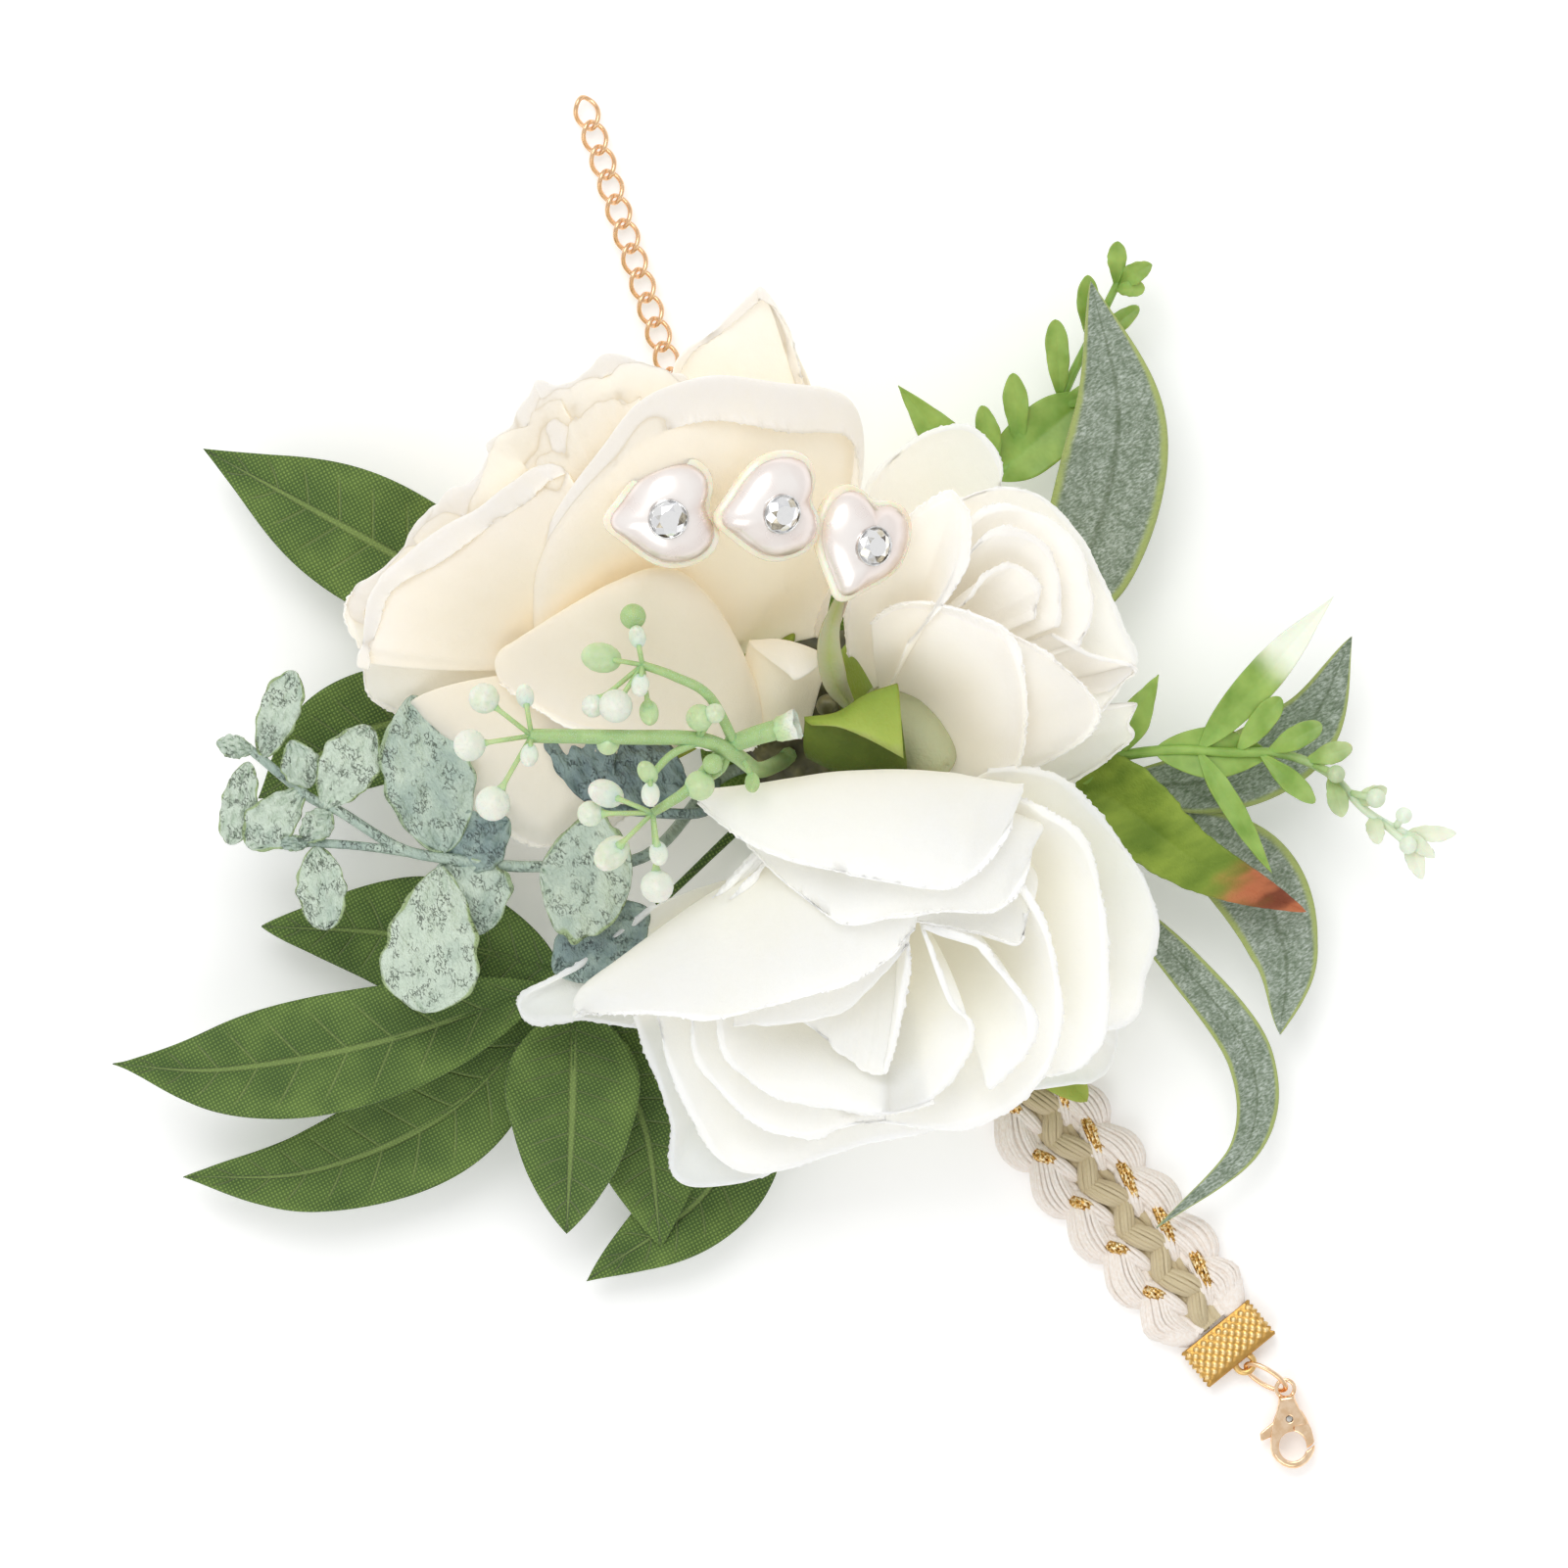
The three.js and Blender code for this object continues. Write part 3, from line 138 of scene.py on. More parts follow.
def piece(name, patches, surface, body=FLOWERS, stands_for=(), slot=None, thick=0.0, ride=True):
    """One mesh of patches. A patch is a grid of points, how it closes ("", "ring" or "loop") and a tone"""
    points, faces, places, tones = [], [], [], []
    start = 0
    for grid, closed, tone in patches:
        rows, columns = grid.shape[:2]
        index = np.arange(rows * columns).reshape(rows, columns) + start
        across, along = np.meshgrid(np.linspace(0, 1, columns), np.linspace(0, 1, rows))
        if closed:
            index = np.hstack([index, index[:, :1]])
            across, along = np.meshgrid(np.linspace(0, 1, columns + 1), np.linspace(0, 1, rows))
        if closed == "loop":
            index = np.vstack([index, index[:1]])
            across, along = np.meshgrid(np.linspace(0, 1, columns + 1), np.linspace(0, 1, rows + 1))
        corners = [(slice(None, -1), slice(None, -1)), (slice(None, -1), slice(1, None))]
        corners += [(slice(1, None), slice(1, None)), (slice(1, None), slice(None, -1))]
        faces.append(np.stack([index[corner] for corner in corners], -1).reshape(-1, 4))
        places.append(np.stack([np.stack([across[c], along[c]], -1) for c in corners], -2).reshape(-1, 2))
        points.append(grid.reshape(-1, 3))
        tones.append(np.full(rows * columns, tone) if np.isscalar(tone) else np.ravel(tone))
        start += rows * columns
    mesh = bpy.data.meshes.new(name)
    mesh.from_pydata((np.vstack(points) * MM).tolist(), [], np.vstack(faces).tolist())
    mesh.uv_layers.new(name="UVMap").data.foreach_set("uv", np.vstack(places).ravel())
    tones = np.concatenate(tones).astype(np.float32)
    mesh.attributes.new("tone", "FLOAT", "POINT").data.foreach_set("value", tones)
    mesh.polygons.foreach_set("use_smooth", [True] * len(mesh.polygons))
    mesh.materials.append(surface)
    made = bpy.data.objects.new(name, mesh)
    bpy.context.scene.collection.objects.link(made)
    if thick:
        made.modifiers.new("cloth", "SOLIDIFY").thickness = thick * MM
        made.modifiers["cloth"].offset = 0
    if ride:
        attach(made, body)
    if stands_for:
        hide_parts(*stands_for)
    return made


class Socket:
    """A socket of a material's nodes. Its sums and products add Math nodes, node() adds any other"""

    def __init__(self, tree, socket=None):
        self.tree = tree
        self.socket = socket

    def node(self, kind, settings, inputs, output=0):
        made = self.tree.nodes.new("ShaderNode" + kind)
        stops = settings.pop("stops", None)
        for name, value in settings.items():
            setattr(made, name, value)
        if stops:
            ramp = made.color_ramp.elements
            while len(ramp) < len(stops):
                ramp.new(1)
            for element, (position, paint) in zip(ramp, stops):
                element.position = position
                element.color = paint
        for name, value in inputs.items():
            if isinstance(value, Socket):
                self.tree.links.new(value.socket, made.inputs[name])
            else:
                made.inputs[name].default_value = value
        return Socket(self.tree, made.outputs[output])

    def maths(self, operation, first, second=0.0):
        return self.node("Math", {"operation": operation}, {0: first, 1: second})

    def __add__(self, other):
        return self.maths("ADD", self, other)

    def __sub__(self, other):
        return self.maths("SUBTRACT", self, other)

    def __rsub__(self, other):
        return self.maths("SUBTRACT", other, self)

    def __mul__(self, other):
        return self.maths("MULTIPLY", self, other)

    __radd__ = __add__
    __rmul__ = __mul__

    def away_from(self, middle):
        """How far this value is from the middle one, to either side"""
        return (self - middle).maths("ABSOLUTE", self - middle)

    def blend(self, low, high):
        """The colours low and high mixed by this value"""
        return self.node("Mix", {"data_type": "RGBA"}, {0: self, 6: low, 7: high}, 2)

    def steps(self, *stops):
        """The colours that this value runs through"""
        return self.node("ValToRGB", {"stops": stops}, {0: self})

    def band(self, low, high):
        """This value as a soft step from 0 at low to 1 at high"""
        settings = {"interpolation_type": "SMOOTHSTEP"}
        return self.node("MapRange", settings, {"Value": self, "From Min": low, "From Max": high})


def colour(red, green, blue):
    """A colour given as it looks on screen, from 0 to 255"""
    return tuple((value / 255) ** 2.2 for value in (red, green, blue)) + (1.0,)


def material(name, fixed=None):
    """A new material with the shader's fixed numbers, and the start of its nodes"""
    made = bpy.data.materials.new(name)
    made.use_nodes = True
    for socket, value in (fixed or {}).items():
        made.node_tree.nodes["Principled BSDF"].inputs[socket].default_value = value
    return made, Socket(made.node_tree)


def wear(made, **varying):
    """Joins what varies over a surface to the shader: its colour, roughness and the height of its bumps"""
    shader = made.node_tree.nodes["Principled BSDF"]
    start = Socket(made.node_tree)
    if "bump" in varying:
        height, depth = varying.pop("bump")
        inputs = {"Height": height, "Strength": 1.0, "Distance": depth * MM}
        varying["Normal"] = start.node("Bump", {}, inputs)
    for name, value in varying.items():
        made.node_tree.links.new(value.socket, shader.inputs[name.replace("_", " ")])


def grain(start, size, detail=3.0, stretch=(1, 1, 1)):
    """Noise whose lumps are about size across, in the row frame"""
    coords = start.node("TexCoord", {}, {}, 3)
    scaled = start.node("VectorMath", {"operation": "MULTIPLY"}, {0: coords, 1: stretch})
    return start.node("TexNoise", {}, {"Vector": scaled, "Scale": 1 / (size * MM), "Detail": detail})


def tone_of(start):
    """The tone that a piece's patches were given"""
    return start.node("Attribute", {"attribute_name": "tone"}, {}, 2)


yarn, start = material("cotton_yarn", {"Roughness": 0.85, "Sheen Weight": 0.25, "Sheen Roughness": 0.4})
tone = tone_of(start)
fluff = grain(start, 0.5).band(0.25, 0.75)
worn_yarn = tone.steps(
    (0.0, colour(244, 230, 216)),
    (0.45, colour(250, 240, 230)),
    (0.55, colour(196, 178, 140)),
    (1.0, colour(222, 207, 174)),
)
fresh_yarn = tone.band(0.45, 0.55).blend(colour(254, 247, 240), colour(212, 197, 160))
wear(yarn, Base_Color=fluff.blend(worn_yarn, fresh_yarn), bump=(grain(start, 0.16), 0.12))

gold_thread, start = material("gold_thread", {"Metallic": 1.0})
glint = grain(start, 0.45, 1.0)
# The thread's colour carries painted glints: specks of noise run it from dark gold to near white.
painted_glints = glint.steps(
    (0.3, colour(150, 108, 50)),
    (0.5, colour(218, 172, 98)),
    (0.62, colour(255, 236, 190)),
)
wear(gold_thread, Base_Color=painted_glints, Roughness=0.15 + 0.3 * glint, bump=(glint, 0.3))

rng = np.random.default_rng(7)
BUNDLE_POINTS = 14
YARN_OVERLAP = 1.3
HEART_SHARE = 0.46


def crimp(places):
    """Narrows and thins the braid towards the two clamps"""
    places = np.array(places, float)
    to_end = np.where(places[:, 0] > 0, TO_CLASP - places[:, 0], TO_CHAIN + places[:, 0])
    open_share = smooth(to_end, CLAMP_REACH - 1, CLAMP_REACH + CRIMP_TAPER)
    places[:, 1] *= CRIMPED_SHARE + (1 - CRIMPED_SHARE) * open_share
    flat = CRIMPED_HEIGHT_SHARE + (1 - CRIMPED_HEIGHT_SHARE) * open_share
    places[:, 2] = BAND_MIDDLE + (places[:, 2] - BAND_MIDDLE) * flat
    return places


def bundle(spine, width, height, yarns, tone, twist=0.5):
    """The yarns of one bundle side by side round a flat oval that narrows to both ends"""
    share = np.linspace(0, 1, BUNDLE_POINTS)
    spine = curve(spine, BUNDLE_POINTS)
    swell = 0.25 + 0.75 * np.sin(np.pi * share) ** 0.7
    thickness = YARN_OVERLAP * np.pi * (width + height) / 2 / yarns
    heart = on_band(crimp(spine))
    yield tube(heart, HEART_SHARE * width * swell, 12, height / width), "ring", tone - 0.1
    for k in range(yarns):
        angle = 2 * np.pi * k / yarns + twist * (share - 0.5) + rng.normal(0, 0.06)
        aside = np.cos(angle) * width / 2 * swell
        rise = np.sin(angle) * height / 2 * swell
        line = on_band(crimp(spine + np.stack([0 * share, aside, rise], 1)))
        yield tube(line, thickness / 2 * (0.6 + 0.4 * swell), 5), "ring", tone + rng.uniform(-0.12, 0.12)


EDGE_SPINE = ((-5.6, 3.6, 1.7), (-3.2, 4.4, 2.0), (0.0, 5.7, 2.0), (3.2, 5.7, 1.6), (5.4, 4.6, 1.1))
SLANT_SPINE = ((-2.8, 4.4, 1.5), (0.2, 3.6, 2.2), (3.0, 2.7, 2.2), (5.6, 1.8, 1.5))
TAN_RIGHT_SPINE = ((-3.9, -1.7, 1.3), (-1.4, -0.4, 2.5), (1.2, 1.0, 2.6), (3.2, 1.9, 1.3))
TAN_LEFT_SPINE = ((-3.3, 1.5, 1.2), (-1.1, 0.4, 2.2), (1.1, -0.9, 2.3), (3.2, -1.8, 1.2))
GOLD_SPINES = {
    1: ((-3.4, 4.4, 1.8), (-0.6, 4.0, 3.0), (2.4, 3.4, 2.8), (4.2, 3.0, 1.8)),
    -1: ((-1.6, 4.5, 2.0), (-0.4, 4.0, 3.0), (1.0, 3.3, 2.9), (2.2, 2.8, 2.0)),
}
# Of each bundle: its width, height, number of yarns and tone, and of the thread its twist.
EDGE_BUNDLE = (5.0, 2.8, 24, 0.25)
SLANT_BUNDLE = (2.3, 1.5, 10, 0.3)
GOLD_BUNDLE = (1.3, 0.9, 6, 0.5, 2.0)
TAN_RIGHT_BUNDLE = (3.3, 1.9, 15, 0.85)
TAN_LEFT_BUNDLE = (2.8, 1.9, 13, 0.75)
SIDE_LAG = 0.15
TAN_RIGHT_LAG = 0.2
TAN_LEFT_LAG = 0.7
FLAT_RUNS = (-4.2, -3.0, -1.8, -0.6, 0.6, 1.8, 3.0, 4.2)
RUN_HEIGHT = 1.3
RUN_RADIUS = 0.75
TAN_REACH = 2


def moved(spine, along, side=1):
    return [(along + a, side * b, c) for a, b, c in spine]


def braid(first, last):
    """Yarn and gold thread of the whole plaits between two counts along the band"""
    cotton, gold = [], []
    for k in range(first, last):
        for side in (1, -1):
            shift = k * PLAIT_PITCH + (SIDE_LAG if side > 0 else 0.0) * PLAIT_PITCH
            cotton += bundle(moved(EDGE_SPINE, shift + PLAIT_PITCH / 2, side), *EDGE_BUNDLE)
            cotton += bundle(moved(SLANT_SPINE, shift, side), *SLANT_BUNDLE)
            gold += bundle(moved(GOLD_SPINES[side], shift, side), *GOLD_BUNDLE)
        cotton += bundle(moved(TAN_RIGHT_SPINE, (k + TAN_RIGHT_LAG) * PLAIT_PITCH), *TAN_RIGHT_BUNDLE)
        cotton += bundle(moved(TAN_LEFT_SPINE, (k + TAN_LEFT_LAG) * PLAIT_PITCH), *TAN_LEFT_BUNDLE)
    for across in FLAT_RUNS:
        along = np.arange(first * PLAIT_PITCH, last * PLAIT_PITCH + 1, 1.0)
        run = np.stack([along, across + 0.3 * np.sin(along + across), RUN_HEIGHT + 0 * along], 1)
        shade = 0.3 if abs(across) > TAN_REACH else 0.7
        cotton.append((tube(on_band(crimp(run)), RUN_RADIUS, 8), "ring", shade))
    return cotton, gold


BRAIDS = {
    "chain_side": (-6, 0, FLOWERS, "band_chain", CHAIN_FOLD, -1),
    "clasp_inner": (0, 5, FLOWERS, "band_clasp_inner", CLASP_FOLDS[0], 1),
    "clasp_outer": (5, 12, "band_clasp_inner", "band_clasp_outer", CLASP_FOLDS[1], 1),
}
BRAID_NODES = {
    "chain_side": ("braided_band_chain_side",),
    "clasp_inner": ("braided_band_middle", "braided_band_clasp_inner"),
    "clasp_outer": ("braided_band_clasp_outer",),
}
for name, (first, last, near, far, fold, side) in BRAIDS.items():
    cotton, gold = braid(first, last)
    middles = [(fold + side * reach, 0, BAND_MIDDLE) for reach in (-FOLD_REACH, FOLD_REACH)]
    ends = [tuple(place * MM) for place in on_band(middles)]
    braided = piece(f"braid_{name}", cotton, yarn, stands_for=BRAID_NODES[name], slot="braid", ride=False)
    threads = piece(f"gold_thread_{name}", gold, gold_thread, slot="gold", ride=False)
    for made in (braided, threads):
        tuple(ends[0])
        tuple(ends[1])
        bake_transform(made)


# Each end of the braid is crimped in a clamp folded from thin gilt sheet. Raised dots are pressed
# into it in slanting rows, its open ends are nipped into teeth and a wire loop stands out of its
# fold.
CLAMP_WIDTH = 12.4
CLAMP_SHEET = 0.3
CLAMP_HALF_HEIGHT = 1.5
MOUTH_HALF_HEIGHT = 0.95
DOT_PITCH = 1.35
DOT_HEIGHT = 0.22
TOOTH_PITCH = 0.8
TOOTH_DEPTH = 0.45
LOOP_WIDTH = 3.2
LOOP_WIRE = 0.6
LOOP_OUT = 0.45
WIRE_STEPS = 64
WIRE_SIDES = 14
CLAMPS = {
    "clasp_clamp": ((104.95, 8.58, BAND_MIDDLE), CLASP_HEADING, "band_clasp_outer"),
    "chain_clamp": ((-51.66, 1.64, BAND_MIDDLE), CHAIN_HEADING + 180, "band_chain"),
}


def placed(grid, place, heading):
    """A grid turned about the upright axis and moved to its place"""
    cos, sin = math.cos(math.radians(heading)), math.sin(math.radians(heading))
    return grid @ np.array(((cos, sin, 0), (-sin, cos, 0), (0, 0, 1))) + place


def oval_wire(length, width, wire, lean=0, twist=0):
    """A ring of round wire, long side along the first axis, leaning about it and twisted end against end"""
    along = np.linspace(0, 2 * np.pi, WIRE_STEPS, endpoint=False)[:, None]
    around = np.linspace(0, 2 * np.pi, WIRE_SIDES, endpoint=False)[None]
    reach = (width - wire + wire * np.cos(around)) / 2
    end = np.cos(along)
    y, z = reach * np.sin(along), wire / 2 * np.sin(around) + 0 * along
    turn = np.radians(lean + twist * end)
    x = reach * end + (length - width) / 2 * end
    return np.stack([x, y * np.cos(turn) - z * np.sin(turn), y * np.sin(turn) + z * np.cos(turn)], -1)


def folded_sheet():
    """The clamp's sheet from its lower lip round the fold to its upper lip"""
    lip = np.array([(-CLAMP_REACH, MOUTH_HALF_HEIGHT), (-4.6, 1.35), (-1.5, CLAMP_HALF_HEIGHT)])
    turn = np.radians((60, 30, 0, -30, -60))
    bend = np.stack([-0.55 + 0.4 * np.cos(turn), CLAMP_HALF_HEIGHT * np.sin(turn)], 1)
    section = curve(np.vstack([lip, bend, lip[::-1] * (1, -1)]), 150)
    x, half = section[:, :1], section[:, 1:]
    y = np.linspace(-CLAMP_WIDTH / 2, CLAMP_WIDTH / 2, 121)[None]
    dots = (np.cos(np.pi * (x + y) / DOT_PITCH) * np.cos(np.pi * (x - y) / DOT_PITCH)) ** 2
    dots = dots * smooth(-x, 0.6, 1.2) * smooth(CLAMP_REACH + x, 0.2, 0.6)
    teeth = np.abs((x / TOOTH_PITCH) % 1 - 0.5) * 2 * TOOTH_DEPTH
    edge = smooth(np.abs(y), CLAMP_WIDTH / 2 - 1, CLAMP_WIDTH / 2)
    nipped = 0.5 * edge * np.abs(half) * smooth(-x, 0, 2)
    height = half + np.sign(half) * (DOT_HEIGHT * dots - DOT_HEIGHT - nipped)
    # The second value is the sheet's tone: painted highlight on the raised dots, painted shade between
    # them.
    return np.stack([x + 0 * y, y - np.sign(y) * teeth * edge, height + 0 * y], -1), 0.25 + 0.75 * dots


def plating(name, deep, body, bright, roughness):
    """Plated metal with a little cloudy wear. Its tone paints shade in the hollows and
    highlight on the raised dots and on one side of each wire
    """
    made, start = material(name, {"Metallic": 1.0})
    tone = tone_of(start)
    cloud = grain(start, 0.9, 4)
    wear(
        made,
        Base_Color=(0.75 * tone + 0.35 * cloud).steps((0.15, deep), (0.5, body), (0.85, bright)),
        Roughness=roughness + 0.25 * cloud,
        bump=(grain(start, 0.25, 3), 0.02),
    )
    return made


gilt = plating(
    "gilt_plating", colour(164, 120, 58), colour(214, 170, 98), colour(250, 222, 164), roughness=0.24
)
# The clamps' tone paints highlight on the raised dots and shade between them.
sheet, dots = folded_sheet()
for name, (place, heading, body) in CLAMPS.items():
    loop = oval_wire(LOOP_WIDTH, LOOP_WIDTH, LOOP_WIRE) + (LOOP_OUT, 0, 0)
    patches = [(placed(sheet, place, heading), "", dots), (placed(loop, place, heading), "loop", 0.6)]
    piece(f"{name}_folded", patches, gilt, body, (name,), "gold", CLAMP_SHEET)

# An oval jump ring joins each clamp's loop to the clasp or to the first link of the extender chain.
# Rings and twisted curb links are bent from round brass wire and plated rose gold.
RING_WIRE = 0.75
RING_LEAN = 50
LINK_WIRE = 0.72
LINK_LENGTH = 5.4
LINK_WIDTH = 3.9
LINK_PITCH = 3.66
LINK_TWIST = 45
LINK_COUNT = 11
CHAIN_PLACE = (-52.50, 1.75, BAND_MIDDLE)
CHAIN_TURN = 170
FIRST_LINK = 6.35
# Of each ring: its end of the band, length, width, wire, reach beyond its place, place and heading.
RINGS = (
    ("clasp", 7.2, 4.1, RING_WIRE, 0, (108.54, 10.42, BAND_MIDDLE), 31.3),
    ("chain", 5.6, 3.9, LINK_WIRE, 2.44, CHAIN_PLACE, CHAIN_TURN),
)

rose_gold = plating(
    "rose_gold_plating", colour(214, 160, 116), colour(246, 206, 164), colour(255, 240, 220), roughness=0.1
)
around = np.linspace(0, 2 * np.pi, WIRE_SIDES, endpoint=False)[None]
# Painted shade and highlight round each wire: the tone makes one side of the wire darker than the other.
painted_wire_shade = 0.6 - 0.3 * np.sin(around) * np.ones((WIRE_STEPS, 1))
for end, length, width, wire, reach, place, heading in RINGS:
    ring = placed(oval_wire(length, width, wire, lean=RING_LEAN) + (reach, 0, 0), place, heading)
    patches = [(ring, "loop", painted_wire_shade)]
    piece(f"{end}_ring_wire", patches, rose_gold, f"{end}_ring", (f"{end}_jump_ring",), "rose_gold")
for k in range(LINK_COUNT):
    link = oval_wire(LINK_LENGTH, LINK_WIDTH, LINK_WIRE, twist=LINK_TWIST)
    link = link + (FIRST_LINK + k * LINK_PITCH, 0, 0)
    link = placed(link, CHAIN_PLACE, CHAIN_TURN)
    label = f"link_{k + 1:02d}"
    piece(f"curb_{label}", [(link, "loop", painted_wire_shade)], rose_gold, label, (f"chain_{label}",), "rose_gold")

# The lobster clasp is cast: a hook with an eye, and a lever in its slot with a thumb tab. Its edges
# are tumbled round before plating. A steel pin and a steel strip spring hold the lever shut.
TUMBLED_GRAIN = 0.09
TUMBLING = 24


def cast(name, node, body):
    """A cast piece with the shape of a solid, its edges rounded off"""
    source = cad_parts[node]
    made = bpy.data.objects.new(name, source.data.copy())
    bpy.context.scene.collection.objects.link(made)
    remesh = made.modifiers.new("metal", "REMESH")
    remesh.mode = "VOXEL"
    remesh.voxel_size = TUMBLED_GRAIN * MM
    remesh.use_smooth_shade = True
    tumble = made.modifiers.new("tumbled", "SMOOTH")
    tumble.factor = 0.5
    tumble.iterations = TUMBLING
    made.data.materials.clear()
    made.data.materials.append(cast_gold)
    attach(made, body)
    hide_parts(node)


def bare_metal(name, deep, bright, roughness):
    """Metal whose colour clouds a little from place to place"""
    made, start = material(name, {"Metallic": 1.0})
    cloud = grain(start, 1.3, 3)
    wear(made, Base_Color=cloud.band(0.35, 0.65).blend(deep, bright), Roughness=roughness + 0.2 * cloud)
    return made


cast_gold = bare_metal("cast_rose_gold", colour(244, 206, 164), colour(254, 224, 190), roughness=0.1)
spring_steel = bare_metal("spring_steel", colour(150, 147, 140), colour(214, 212, 206), roughness=0.25)
cast("clasp_hook_cast", "clasp_body", "clasp")
cast("clasp_lever_cast", "clasp_lever", "lever")
for node in ("clasp_pin", "clasp_spring"):
    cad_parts[node].data.materials.clear()
    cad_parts[node].data.materials.append(spring_steel)

# Under the flowers a round of green felt is glued to the braid. The wired stems are laid on it and
# buried in a dome of brown-green hot glue that sets glossy, full of flow marks.
PAD_RADIUS = 19
PAD_BOTTOM = 3.7
PAD_TOP = 5.2
BOSS_RADIUS = 9
DOME_TOP = 11
BROAD_LOBES = 5
FINE_LOBES = 9


def turned(profile, sides, wobble=0.0):
    """A round form from its profile of radius and height, a little uneven round its middle"""
    angle = np.linspace(0, 2 * np.pi, sides, endpoint=False)[None]
    radius, height = curve(profile, 8 * len(profile)).T[..., None]
    uneven = np.sin(BROAD_LOBES * angle + height) + 0.6 * np.sin(FINE_LOBES * angle - height)
    radius = radius * (1 + wobble * uneven)
    return np.stack([radius * np.cos(angle), radius * np.sin(angle), height + 0 * angle], -1)


felt, start = material("green_felt", {"Roughness": 0.95, "Sheen Weight": 0.4})
fibre = grain(start, 0.3, 5, (1, 1, 0.3))
fibre_green = fibre.band(0.3, 0.7).blend(colour(86, 118, 40), colour(140, 170, 84))
wear(felt, Base_Color=fibre_green, bump=(fibre, 0.25))
glue, start = material("hot_glue", {"Specular IOR Level": 0.6})
flow = grain(start, 3, 2, (1, 1, 2))
set_glue = flow.steps(
    (0.3, colour(52, 50, 30)),
    (0.55, colour(92, 90, 58)),
    (0.75, colour(134, 130, 92)),
)
wear(glue, Base_Color=set_glue, Roughness=0.2 + 0.4 * flow, bump=(flow, 0.8))
edge = PAD_RADIUS - 0.2
pad = [(0.1, PAD_BOTTOM), (edge, PAD_BOTTOM), (PAD_RADIUS, 4.4), (edge, PAD_TOP), (0.1, PAD_TOP)]
piece("felt_pad", [(turned(pad, sides=96), "ring", 0.5)], felt, stands_for=("base_pad",), slot="felt")
boss = [(0.1, 5.5), (BOSS_RADIUS, 5.5), (BOSS_RADIUS, 7.3)]
dome = [*boss, (14, 7.6), (14.2, 8.4), (11, 9.9), (7, 10.7), (0.1, DOME_TOP)]
blob = turned(dome, sides=120, wobble=0.02)
piece("glue_blob", [(blob, "ring", 0.5)], glue, stands_for=("glue_dome",), slot="glue")


# The large leaves are cut from a coarse green ribbon, pressed in a heated mould that sets the veins
# and folds each along its midrib, and glued to a wrapped wire that is buried in the dome.
STEM_LEVEL = 6.4
STEM_RADIUS = 0.9
STEM_START = 10.2
LEAF_CLOTH = 0.3
LEAF_ROWS = 72
LEAF_COLUMNS = 25
WIRE_POINTS = 60
VEIN_SLANT = 0.9
ACROSS, ALONG = 0, 1


def blade(route, width, fold, wave, low, high, seed, tone=0.0, ragged=0.0):
    """A leaf along its midrib. low and high shape its outline, fold lifts its edges, tone tints it"""
    draw = np.random.default_rng(seed)
    centre = curve(route, LEAF_ROWS)
    u = np.linspace(0, 1, LEAF_ROWS)[:, None]
    v = np.linspace(-1, 1, LEAF_COLUMNS)[None]
    half = width / 2 * np.maximum(np.sin(np.pi * u**low), 0.0) ** high
    bulge = 0.05 * np.sin(9 * u + draw.uniform(0, 6))
    half = half * (1 + bulge + ragged * draw.normal(0, 1, (LEAF_ROWS, 1)))
    ahead = unit(np.gradient(centre, axis=0))
    side = unit(np.cross((0, 0, 1), ahead))
    phase = draw.uniform(0, 6, 3)
    broad = np.sin(11 * u + phase[0] + 1.5 * v) * v**2
    fine = 0.6 * np.sin(19 * u + phase[1] - 2 * v) * np.abs(v) ** 3
    lift = fold * half * np.abs(v) + wave * (broad + fine) * np.sin(np.pi * u) ** 0.6
    grid = centre[:, None] + (half * v)[..., None] * side[:, None]
    grid[..., 2] += lift
    return grid, "", tone + 0.15 * np.abs(v) + 0 * u


def direction(heading):
    return np.array((math.cos(math.radians(heading)), math.sin(math.radians(heading))))


def buried(heading):
    """The two places where a wire leaves the glue and the edge of the felt"""
    return [(*(direction(heading) * radius), STEM_LEVEL) for radius in (STEM_START, PAD_RADIUS)]


def stem(heading, places):
    """A wrapped wire from under the dome along its heading and on through the places"""
    line = curve(np.vstack([buried(heading), places]), WIRE_POINTS)
    return tube(line, STEM_RADIUS * np.linspace(1, 0.35, WIRE_POINTS)), "ring", 0.0


def along_leaf(route, share, sink):
    """The start of a route, up to a share of it and a little below it, for the wire on the leaf's back"""
    return curve(route, 40)[: int(40 * share) : 6] - (0, 0, sink)


def share_of_patch(start, axis):
    """How far across or along its patch a point lies, from 0 to 1"""
    place = start.node("TexCoord", {}, {}, 2)
    return start.node("SeparateXYZ", {}, {0: place}, axis)


def leaf_cloth(name, deep, pale, vein, pairs, weave):
    """Woven ribbon with a pressed midrib and pairs of side veins, which end short of the edge"""
    made, start = material(name, {"Roughness": 0.72, "Sheen Weight": 0.15})
    from_rib = share_of_patch(start, ACROSS).away_from(0.5) * 2
    row = share_of_patch(start, ALONG) * pairs - from_rib * VEIN_SLANT
    from_vein = row.maths("FRACT", row).away_from(0.5)
    side_vein = (1 - from_vein.band(0.0, 0.07)) * (1 - from_rib.band(0.5, 0.9))
    rib = 1 - from_rib.band(0.03, 0.09)
    veins = side_vein.maths("MAXIMUM", side_vein, rib)
    tone = tone_of(start)
    cloth = start.node("TexCoord", {}, {}, 3)
    inputs = {"Vector": cloth, "Scale": weave, "Distortion": 1.0}
    warp, weft = (start.node("TexWave", {"bands_direction": way}, inputs) for way in "XY")
    threads = warp * weft
    patchy = grain(start, 6, 4)
    base = (0.5 * patchy + 0.8 * tone + 0.5 * threads).band(0.2, 1.0).blend(deep, pale)
    wear(
        made,
        Base_Color=(0.4 * veins).blend(base, vein),
        bump=(threads * 0.25 - veins * 0.8 + 0.5 * patchy, 0.4),
    )
    return made


